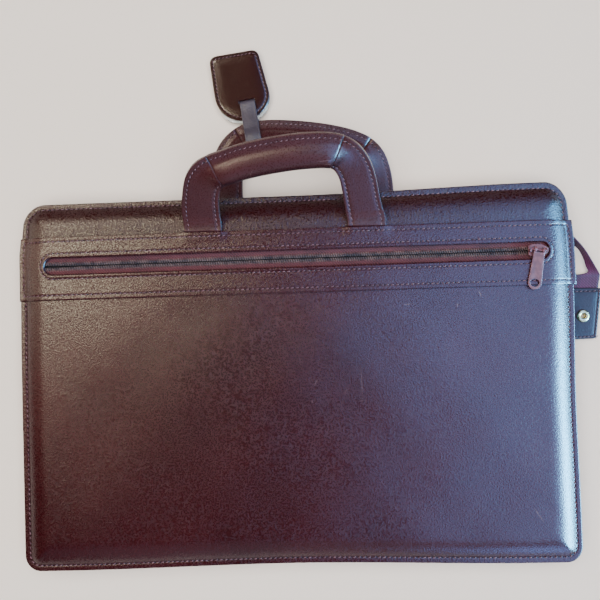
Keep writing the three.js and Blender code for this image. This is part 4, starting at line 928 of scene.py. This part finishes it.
tag_y = BAND_HIGH + 0.989 * 74.0 + STRAP_DROP * math.cos(TAG_LEAN)
tag_turn = Matrix.Translation((tag_x, tag_y, 0)) @ Matrix.Rotation(TAG_LEAN, 4, "Z")
TAG_BOTTOM, TAG_LEATHER, TAG_GAP, TAG_STITCH_IN = 2.5, 1.7, 1.6, 2.5
TAG_TOP = TAG_BOTTOM + 2 * TAG_LEATHER + TAG_GAP


def in_case_frame(points):
    turn = np.array(tag_turn)
    return np.asarray(points) @ turn[:3, :3].T + turn[:3, 3]


def resampled(outline, count):
    closed = np.concatenate([outline, outline[:1]])
    run = np.concatenate([[0], np.cumsum(np.linalg.norm(np.diff(closed, axis=0), axis=1))])
    at = np.linspace(0, run[-1], count, endpoint=False)
    return np.stack([np.interp(at, run, closed[:, k]) for k in (0, 1)], -1)


def rounded_outline(corners, count=160, passes=5):
    """The outline with its corners worn round."""
    points = resampled(np.asarray(corners, dtype=float), count)
    for _ in range(passes):
        points = 0.5 * points + 0.25 * (np.roll(points, 1, 0) + np.roll(points, -1, 0))
    return points


tag_outline = rounded_outline([(TAG_CENTRE + a * TAG_HALF, b * TAG_LENGTH) for a, b in TAG_SHAPE])
slot_middle = np.array([0.0, SLOT_NEAR + SLOT_LENGTH / 2 - 0.2])
aim = tag_outline - slot_middle
angle = np.arctan2(aim[:, 1], aim[:, 0])
reach = 1 / np.maximum(np.abs(np.cos(angle)) / SLOT_HALF_X, np.abs(np.sin(angle)) / SLOT_HALF_Y)
# The strap's slot, a narrow rounded rectangle, with its points facing those of the tag's outline.
slot_rim = slot_middle + np.stack([np.cos(angle), np.sin(angle)], -1) * reach[:, None]


def outline_distance(points, outline):
    a = outline
    b = np.roll(outline, -1, 0)
    ab = b - a
    ap = points[:, None, :] - a[None]
    t = np.clip((ap * ab[None]).sum(-1) / (ab * ab).sum(-1)[None], 0, 1)
    near = a[None] + t[..., None] * ab[None]
    return np.linalg.norm(points[:, None, :] - near, axis=-1).min(1)


TAG_STEPS = ((0, 0.12, 4), (0.2, 0.7, 9), (0.74, 0.975, 24))
TAB_STEPS = ((0, 0.1, 3), (0.2, 0.7, 8), (0.75, 0.975, 20))


def plate(name, inner, outline, steps, heights, material, place=np.asarray):
    """A plate from the rim of a hole out to an outline, with the heights of its two faces."""
    shares = np.concatenate([np.linspace(*step) for step in steps] + [[0.982, 0.988, 0.993, 0.997, 1.0]])
    flat = np.concatenate([mix(inner, outline, s) for s in shares])
    points = [np.column_stack([flat, z]) for z in heights(flat, outline_distance(flat, outline))]
    piece = make_mesh(name, place(np.concatenate(points)), plate_faces(len(shares), len(outline)), material)
    turn_outwards(piece)
    return piece


def slotted_plate(name, outline, low, thickness, material, edge=0.6, groove=0.0, dome=0.0, low_groove=0.0):
    """A plate of the tag, with worn edges and a sewn groove near its border."""
    def heights(flat, d):
        top = low + thickness - edge_round(d, edge) - sewn_groove(d, TAG_STITCH_IN, groove, 0.6)
        under = low + edge_round(d, edge) + sewn_groove(d, TAG_STITCH_IN, low_groove, 0.6)
        return top + dome * smooth(d / 9), under

    return plate(name, slot_rim, outline, TAG_STEPS, heights, material, in_case_frame)


def clear_vinyl(name):
    """Flexible clear vinyl of the address sleeve: nearly colourless, glossy, scuffed a little cloudy."""
    look = Finish(name)
    cloud = look.noise(220.0, 4.0)
    return look.done(look.ramp(cloud, "#c8d0cd", "#eef1ee", 0.3, 0.7),
        look.mapped(cloud, 0.0, 1.0, 0.12, 0.35), IOR=1.53, Transmission_Weight=0.35)


tag_calf = calf_leather("brown tag calf", "#1c0603", "#2e0c06", 0.17, grain=0.9, relief=0.35)
tag_back = slotted_plate("tag_back_leather", tag_outline, TAG_BOTTOM, TAG_LEATHER, tag_calf, low_groove=0.2)
tag_front = slotted_plate("tag_front_leather", tag_outline, TAG_BOTTOM + TAG_LEATHER + TAG_GAP, TAG_LEATHER,
    tag_calf, groove=0.14, dome=0.5)
card_outline = []
for x, y in tag_outline:
    lower = float(smooth(0.17 - (y / TAG_LENGTH) * 4.5))
    side = math.copysign(1, x - TAG_CENTRE)
    card_outline.append((x - side * mix(2, -1.2, lower), y - 2 if y > 2 else y - 1.6 * lower))
sleeve = slotted_plate("tag_card_sleeve", rounded_outline(card_outline), TAG_BOTTOM + TAG_LEATHER + 0.3, 1.0,
    clear_vinyl("clear scuffed vinyl"), edge=0.25)
stand_in(tag_back, "tag_back")
stand_in(tag_front, "tag_front")
stand_in(sleeve, "tag_card")

# The strap is one flat strip of calf that runs up through the slot, over the tag and the grip and back
# beneath them; its ends are sewn together under the tag.
STRAP_THICK, STRAP_WIDE = 1.5, 12.0
strap_turn = STRAP_THICK / 2
strap_low = 0.4 + strap_turn
over_tag = TAG_TOP + 0.6 + strap_turn
roll_top = BACK_LIFTED + ROLL + 0.6 + strap_turn
grip_near, grip_far = LEG_WIDTH * 0.475 - STRAP_DROP, -LEG_WIDTH * 0.475 - STRAP_DROP
strap_mid = SLOT_NEAR + SLOT_LENGTH / 2
strap_far = grip_far - strap_turn - 2.4


def between(a, b):
    return lambda share: mix(a, b, share)


to_grip, on_grip = between(SLOT_NEAR, grip_near), between(grip_near, grip_far)
past_grip = between(grip_far, strap_far)
in_slot, up_slope = between(strap_low, over_tag), between(over_tag, roll_top)
whole_rise = between(strap_low, roll_top)
strap_route = np.array([
    (strap_mid, in_slot(0.5)), (strap_mid - strap_turn * 0.3, in_slot(0.85)),
    (strap_mid - strap_turn * 3, over_tag + strap_turn * 0.6), (to_grip(0.33), over_tag + strap_turn * 1.6),
    (to_grip(0.68), up_slope(0.27)), (grip_near, up_slope(0.45)), (on_grip(0.22), up_slope(0.64)),
    (on_grip(0.42), up_slope(0.92)), (on_grip(0.62), roll_top), (on_grip(0.86), up_slope(0.88)),
    (past_grip(0.45), whole_rise(0.77)), (strap_far, whole_rise(0.48)), (past_grip(0.45), whole_rise(0.2)),
    (on_grip(0.88), whole_rise(0.035)), (on_grip(0.64), strap_low), (to_grip(0.6), strap_low),
    (strap_mid - strap_turn * 4, strap_low), (strap_mid - strap_turn * 0.8, in_slot(0.1)),
    (strap_mid + strap_turn * 0.1, in_slot(0.3))])
around = np.concatenate([strap_route[-2:], strap_route, strap_route[:2]])
fine_route = curve_through(around, 4)[8:-8][:-1]
tangents = np.roll(fine_route, -1, 0) - np.roll(fine_route, 1, 0)
tangents /= np.linalg.norm(tangents, axis=1)[:, None]
profile = [(-1, 0.35), (-0.985, 0.8), (-0.93, 1), (-0.8, 0.97), (-0.72, 0.86), (-0.64, 0.97), (0, 1),
    (0.64, 0.97), (0.72, 0.86), (0.8, 0.97), (0.93, 1), (0.985, 0.8), (1, 0.35)]
profile = profile + [(x, -z) for x, z in profile[::-1]]
strap_rings = []
for (y, z), (ty, tz) in zip(fine_route, tangents):
    strap_rings.append(in_case_frame([(x * STRAP_WIDE / 2, y - tz * h * STRAP_THICK / 2,
        z + ty * h * STRAP_THICK / 2) for x, h in profile]))
strap = loft("tag_strap_leather", strap_rings, calf_leather("blued strap calf", "#2b2430", "#453c49", 0.36,
    grain=0.9), closed=True)
stand_in(strap, "tag_strap")

# ---------------------------------------------------------------------------
# Loose end of the main zip: its tape hangs out at the right side, twists flat
# and is sewn into the mouth of a small leather tab with a press-stud.
# ---------------------------------------------------------------------------
# Each row: the inner and the outer edge of the tape as shares outwards, downwards and upwards.
TAIL = (((-0.263, 0, 0.4), (-0.263, 0, 0.93)), ((-0.18, 0.063, 0.4), (-0.18, 0.054, 0.93)),
    ((-0.053, 0.086, 0.4), (-0.06, 0.068, 0.92)), ((0.075, 0.133, 0.355), (0.075, 0.096, 0.89)),
    ((0.218, 0.217, 0.28), (0.286, 0.213, 0.78)), ((0.391, 0.306, 0.19), (0.466, 0.329, 0.64)),
    ((0.519, 0.442, 0.125), (0.654, 0.489, 0.475)), ((0.602, 0.6, 0.07), (0.835, 0.638, 0.285)),
    ((0.632, 0.731, 0.035), (0.977, 0.75, 0.093)), ((0.038, 0.788, 0), (1, 0.802, 0)),
    ((0.045, 0.928, 0), (0.955, 0.937, 0)))
TAB_MIDDLE, TAB_TOP, TAB_LEFT = 2.8, ZIP_START - 42.8, HALF_W + 0.3
TAB_WIDTH, TAB_LENGTH = 26.8, 39.9


def tail_point(row):
    out, down, up = row
    return [HALF_W + out * 26.6, ZIP_START - 0.3 - down * 43.1, mix(TAB_MIDDLE, RIM_TOP, up)]


inner_edge = [tail_point(a) for a, b in TAIL] + [[TAB_LEFT + 0.9, TAB_TOP - 5.7, TAB_MIDDLE]]
outer_edge = [tail_point(b) for a, b in TAIL] + [[TAB_LEFT + TAB_WIDTH * 0.87, TAB_TOP - 5.7, TAB_MIDDLE]]
fine_tail = curve_through(np.concatenate([inner_edge, outer_edge], axis=1), 5)
inner_edge, outer_edge = fine_tail[:, :3], fine_tail[:, 3:]
middle = (inner_edge + outer_edge) / 2
along = np.gradient(middle, axis=0)
normal = np.cross(outer_edge - inner_edge, along)
normal /= np.linalg.norm(normal, axis=1)[:, None]
tail_rings = []
for a, b, n in zip(inner_edge, outer_edge, normal):
    upper = [mix(a, b, s) + n * (0.42 + 0.25 * math.exp(-(((s - 0.5) / 0.06) ** 2)))
        for s in np.linspace(0, 1, 17)]
    lower = [mix(a, b, s) - n * 0.42 for s in np.linspace(1, 0, 17)]
    tail_rings.append(upper + lower)
tail = loft("zip_tail_cloth", tail_rings, woven_tape("purple polyester zip tape", "#2b0f24", "#5d2450"))
stand_in(tail, "zip_tail_tape")


EASED_STEPS, SHARP_ANGLE = 3, math.radians(28)


def eased_copy(name, node, width, material, edge_wear_and_highlight):
    """A copy of a solid with its loose triangles joined and its edges eased, their faces given a brighter
    colour for wear and a painted highlight.
    """
    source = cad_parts[node]
    work = bmesh.new()
    work.from_mesh(source.data)
    bmesh.ops.remove_doubles(work, verts=work.verts, dist=1e-6)
    bmesh.ops.dissolve_limit(work, angle_limit=math.radians(2), verts=work.verts, edges=work.edges)
    sharp = [e for e in work.edges if len(e.link_faces) == 2 and e.calc_face_angle() > SHARP_ANGLE]
    bmesh.ops.bevel(work, geom=sharp, offset=width, segments=EASED_STEPS, profile=0.5, affect="EDGES",
        clamp_overlap=True, material=1)
    mesh = bpy.data.meshes.new(name)
    work.to_mesh(mesh)
    work.free()
    mesh.transform(source.matrix_world)
    mesh.shade_smooth()
    mesh.materials.append(material)
    mesh.materials.append(edge_wear_and_highlight)
    return add_object(name, mesh)


tab_calf = calf_leather("purple-black tab calf", "#170811", "#28131f", 0.36, grain=0.9, shine=0.3)
TAB_SHAPE = ((0, 0), (0.97, 0.015), (1, 0.045), (0.81, 0.967), (0.765, 0.99), (0.055, 1), (0.01, 0.972))
tab_outline = rounded_outline([(TAB_LEFT + a * TAB_WIDTH, TAB_TOP - d * TAB_LENGTH) for a, d in TAB_SHAPE],
    132, 2)

TAB_LEVEL, TAB_LEATHER, STUD_HOLE = 1.2, 3.2, 2.8
stud_x, stud_y = TAB_LEFT + TAB_WIDTH * 0.443, TAB_TOP - TAB_LENGTH * 0.549


def flap_heights(flat, d):
    """Doubled leather, thinned at its edges and at the mouth that holds the tape."""
    top = TAB_LEVEL + TAB_LEATHER - edge_round(d, CUT_EDGE) - sewn_groove(d, 2.4, 0.22, 0.6)
    top = top + 0.25 * smooth(d / 8)
    mouth = 0.45 * np.exp(-(((flat[:, 1] - TAB_TOP) / 3.0) ** 2))
    return top - mouth, TAB_LEVEL + edge_round(d, CUT_EDGE)


aim = tab_outline - (stud_x, stud_y)
stud_rim = (stud_x, stud_y) + aim / np.linalg.norm(aim, axis=1)[:, None] * STUD_HOLE
tab = plate("tail_tab_leather", stud_rim, tab_outline, TAB_STEPS, flap_heights, tab_calf)
stand_in(tab, "tail_tab")


def metal(name, deep, bright, roughness, metallic=1.0):
    """Plated or painted zinc: smooth from the tumbling drum, with fine rubs."""
    look = Finish(name)
    cloud = look.noise(300.0, 4.0)
    rough = look.mapped(cloud, 0.0, 1.0, roughness - 0.06, roughness + 0.12)
    return look.done(look.ramp(cloud, deep, bright), rough, Metallic=metallic)


brass = metal("lacquered brass", "#a8965f", "#e2d6a8", 0.22)
stud_profile = curve_through([(1.7, 0.4), (3.2, 0.4), (4.1, 0.42), (4.1, 0.9), (2.5, 0.95), (2.5, 4.7),
    (4.7, 4.72), (4.78, 4.95), (4.6, 5.4), (4.1, 5.85), (3.4, 6.05), (2.7, 6.0), (2.1, 5.7), (1.75, 5.1),
    (1.7, 3.5), (1.7, 1.2)], 4)
stud_out, stud_up = stud_profile.T
stud_rings = []
for i in range(64):
    a = math.tau * i / 64
    ring = [stud_x + stud_out * math.cos(a), stud_y + stud_out * math.sin(a), stud_up]
    stud_rings.append(np.column_stack(ring))
stud = loft("tail_stud_brass", stud_rings, brass, closed=True)
stand_in(stud, "tail_stud")

# ---------------------------------------------------------------------------
# Sliders and puller: die-cast zinc with burgundy enamel, its edges brighter for wear and a painted highlight;
# the puller swings on the slider's bar.
# ---------------------------------------------------------------------------
enamel = metal("burgundy enamel on zinc", "#592930", "#753e45", 0.42, 0.0)
# Brighter colour on the bevelled edges: partly wear of the enamel, partly a painted highlight.
worn_and_highlit_enamel = metal("enamel worn and painted highlight at the edges", "#8f6068", "#c09aa0", 0.3, 0.5)
for node, body, width in (("main_zip_slider", "case", 0.0004), ("pocket_slider", "case", 0.00028),
        ("pocket_puller", "puller", 0.00025)):
    stand_in(eased_copy(node + "_enamel", node, width, enamel, worn_and_highlit_enamel), node, body)

# ---------------------------------------------------------------------------
# Sewing: bonded nylon thread, a little paler than the leather, in saddle
# stitches 3 to 3.7 mm apart round every edge, the window, handles and tag.
# ---------------------------------------------------------------------------
thread = nylon("mauve bonded nylon thread", "#523a42", "#7b626b", 0.45)
# Near-black discs between the stitches: painted shade in the needle holes.
stitch_hole_shade = nylon("painted shade of a needle hole", "#120508", "#1c090d", 0.8)
stitching = sewing_tree(thread, stitch_hole_shade)


def on_surface(top, xs, ys):
    """Points on a height function and the directions that it faces, once the outline has settled."""
    xs, ys = np.asarray(xs, dtype=float), np.asarray(ys, dtype=float)
    z = top(xs, ys)
    slope_x = (top(xs + 0.4, ys) - top(xs - 0.4, ys)) / 0.8
    slope_y = (top(xs, ys + 0.4) - top(xs, ys - 0.4)) / 0.8
    up = np.stack([-slope_x, -slope_y, np.ones_like(z)], -1)
    up /= np.linalg.norm(up, axis=1)[:, None]
    return settle(np.stack([xs, ys, z], -1)), up


def edge_line(end_y, sign_y):
    """A run at the stitches' distance inside the case's outline."""
    route = outline_route(end_y, sign_y, 2.0)
    return (route[:, :2] - route[:, 2:] * STITCH_IN).T


def sew(name, runs, pitch, thickness):
    stand_in(repeated_along(name, stitching, runs, {"Pitch": pitch, "Thread": thickness}), None)


def flat_run(points):
    return points, np.tile([0.0, 0.0, 1.0], (len(points), 1))


across = np.arange(-BAND_HALF + 4.2, BAND_HALF - 3, 3.0)
upward = np.arange(BAND_LOW + 5, BAND_HIGH - 4.5, 2.0)
window_line = np.array([stadium_point(k, t, WINDOW_STITCH_IN) for k, t in window_steps + [("low", 0)]])
runs = [on_surface(front_top, *edge_line(BAND_LOW - 2, -1)),
    on_surface(strip_top, *edge_line(BAND_HIGH + 2, 1))]
runs += [on_surface(band_top, across, np.full_like(across, y))
    for y in (BAND_LOW + BAND_STITCH_IN, BAND_HIGH - BAND_STITCH_IN)]
runs += [on_surface(band_top, np.full_like(upward, BAND_X + sign * (BAND_HALF - BAND_STITCH_IN)), upward)
    for sign in (-1, 1)]
runs.append(on_surface(band_top, *window_line.T))
sew("front_stitching", runs, 0.0037, 0.00037)

runs = []
for handle, flip in ((front_handle, 1.0), (back_handle, -1.0)):
    first, last = handle.seams
    end = len(handle.across) - 3
    for start, stop, a in ((2, first - 1, 0.76), (2, first - 2, -0.76), (first + 1, last - 1, 0.76),
            (last + 1, end, 0.76), (last + 2, end, -0.76)):
        path, up = handle.seam_line(start, stop, a, flip)
        runs.append((path, up if up[len(up) // 2][2] > 0 else -up))
sew("handle_stitching", runs, 0.0036, 0.00034)

TAB_THREAD_LEVEL = 4.4
run = np.roll(tag_outline, -1, 0) - np.roll(tag_outline, 1, 0)
run /= np.linalg.norm(run, axis=1)[:, None]
line = tag_outline + np.stack([run[:, 1], -run[:, 0]], -1) * TAG_STITCH_IN
line = np.concatenate([line, line[:1]])
tab_line = np.array([(0.06, 0.1), (0.07, 0.93), (0.1, 0.955), (0.74, 0.945), (0.78, 0.92), (0.93, 0.1)])
tab_line = np.column_stack([TAB_LEFT + tab_line[:, 0] * TAB_WIDTH, TAB_TOP - tab_line[:, 1] * TAB_LENGTH,
    np.full(len(tab_line), TAB_THREAD_LEVEL)])
mouth_line = np.array([(TAB_LEFT + 1.5 + i * 0.5, TAB_TOP - 3.0, TAB_THREAD_LEVEL) for i in range(48)])
sew("tag_and_tab_stitching",
    [flat_run(in_case_frame(np.column_stack([line, np.full(len(line), TAG_TOP + 0.02)]))),
    flat_run(curve_through(tab_line, 8)), flat_run(mouth_line)], 0.003, 0.00027)

# ---------------------------------------------------------------------------
# Studio: a plain pale table under an even light, with panes of warm light on
# the left and cool light on the right that only reflections show, and the
# camera nearly straight above the case.
# ---------------------------------------------------------------------------
TABLE_HALF = 3
FOCAL_PX, PICTURE_PX, SENSOR_MM = 766.258, 600, 36.0
floor_material = bpy.data.materials.new("pale matte table")
floor_material.use_nodes = True
shader = floor_material.node_tree.nodes["Principled BSDF"]
shader.inputs["Base Color"].default_value = linear("#f1e6dc")
shader.inputs["Roughness"].default_value = 0.85
floor_mesh = bpy.data.meshes.new("table")
floor_mesh.from_pydata([(x * TABLE_HALF, y * TABLE_HALF, 0) for x, y in ((-1, -1), (1, -1), (1, 1), (-1, 1))],
    [], [(0, 1, 2, 3)])
floor_mesh.materials.append(floor_material)
add_object("table", floor_mesh)


def softbox(name, place, aim, width, height, power, colour):
    """A flat soft light: its width runs along X, or along Y where it faces sideways."""
    data = bpy.data.lights.new(name, "AREA")
    data.shape = "RECTANGLE"
    data.size, data.size_y = width, height
    data.energy = power
    data.color = linear(colour)[:3]
    light = add_object(name, data)
    back = (Vector(place) - Vector(aim)).normalized()
    sideways = Vector((0, 1, 0)) if abs(back.x) > 0.75 else Vector((1, 0, 0))
    across = (sideways - back * sideways.dot(back)).normalized()
    turn = Matrix((across, back.cross(across), back)).transposed().to_4x4()
    light.matrix_world = Matrix.Translation(place) @ turn
    return light


softbox("overhead", (-0.1, 0.1, 2.0), (-0.1, 0.1, 0), 2.6, 2.6, 112, "#fffaf5").visible_glossy = False
# Panes that only reflections show: name, place, aim, width, height, watts and colour.
for pane in (
        ("window_left", (-0.84, 0.18, 1.25), (-0.84, 0.18, 0), 0.42, 0.42, 3.2, "#fff3d6"),
        ("window_left_bright", (-0.66, 0.27, 1.24), (-0.66, 0.27, 0), 0.66, 0.09, 4.8, "#fff6d2"),
        ("window_left_dim", (-0.74, -0.12, 1.25), (-0.74, -0.12, 0), 0.5, 0.36, 0.5, "#fff0dc"),
        ("window_left_high", (-0.74, 0.98, 1.25), (-0.74, 0.98, 0), 0.6, 0.4, 14, "#fff3d6"),
        ("window_left_low", (-1.3, 0.3, 0.68), (-0.2, 0.3, 0.3), 0.6, 1.2, 4.5, "#fff3d8"),
        ("sky_pane", (0.23, 0.1, 1.28), (0.23, 0.1, 0), 0.2, 0.3, 1.4, "#94b8ff"),
        ("sky_right", (0.85, 0.2, 1.3), (0.85, 0.2, 0), 1.1, 2.7, 43, "#8cb4ff"),
        ("sky_right_soft", (1.25, -0.4, 0.9), (0.2, -0.4, 0.05), 1.2, 0.7, 28, "#8cbaff"),
        ("sky_right_low", (1.3, -0.47, 0.42), (0.2, -0.47, 0.05), 0.9, 0.6, 200, "#74caff"),
        ("sky_right_band", (1.3, 0.25, 0.45), (0.2, 0.25, 0.05), 0.4, 0.5, 20, "#64bcff"),
        ("room_front", (-0.05, -1.5, 0.32), (-0.05, 0, 0.05), 1.0, 0.62, 1.1, "#dfe0f2"),
        ("room_front_high", (-0.05, -1.2, 0.95), (-0.05, 0, 0.05), 1.4, 0.9, 2.0, "#dfe0f2"),
        ("sky_front", (0.72, -1.45, 0.5), (0.2, 0, 0.05), 0.7, 0.6, 11, "#80acff")):
    softbox(*pane).visible_diffuse = False
world = bpy.data.worlds.new("pale room")
world.use_nodes = True
world.node_tree.nodes["Background"].inputs["Color"].default_value = (0.95, 0.95, 1.0, 1)
world.node_tree.nodes["Background"].inputs["Strength"].default_value = 0.05
bpy.context.scene.world = world

camera_data = bpy.data.cameras.new("camera")
camera_data.sensor_width = SENSOR_MM
camera_data.lens = FOCAL_PX * SENSOR_MM / PICTURE_PX
camera = add_object("camera", camera_data)
camera.location = (0.0309198, 0.0444543, 0.600)
camera.rotation_euler = (0.0235375, 0.0441720, -0.0305818)
bpy.context.scene.camera = camera
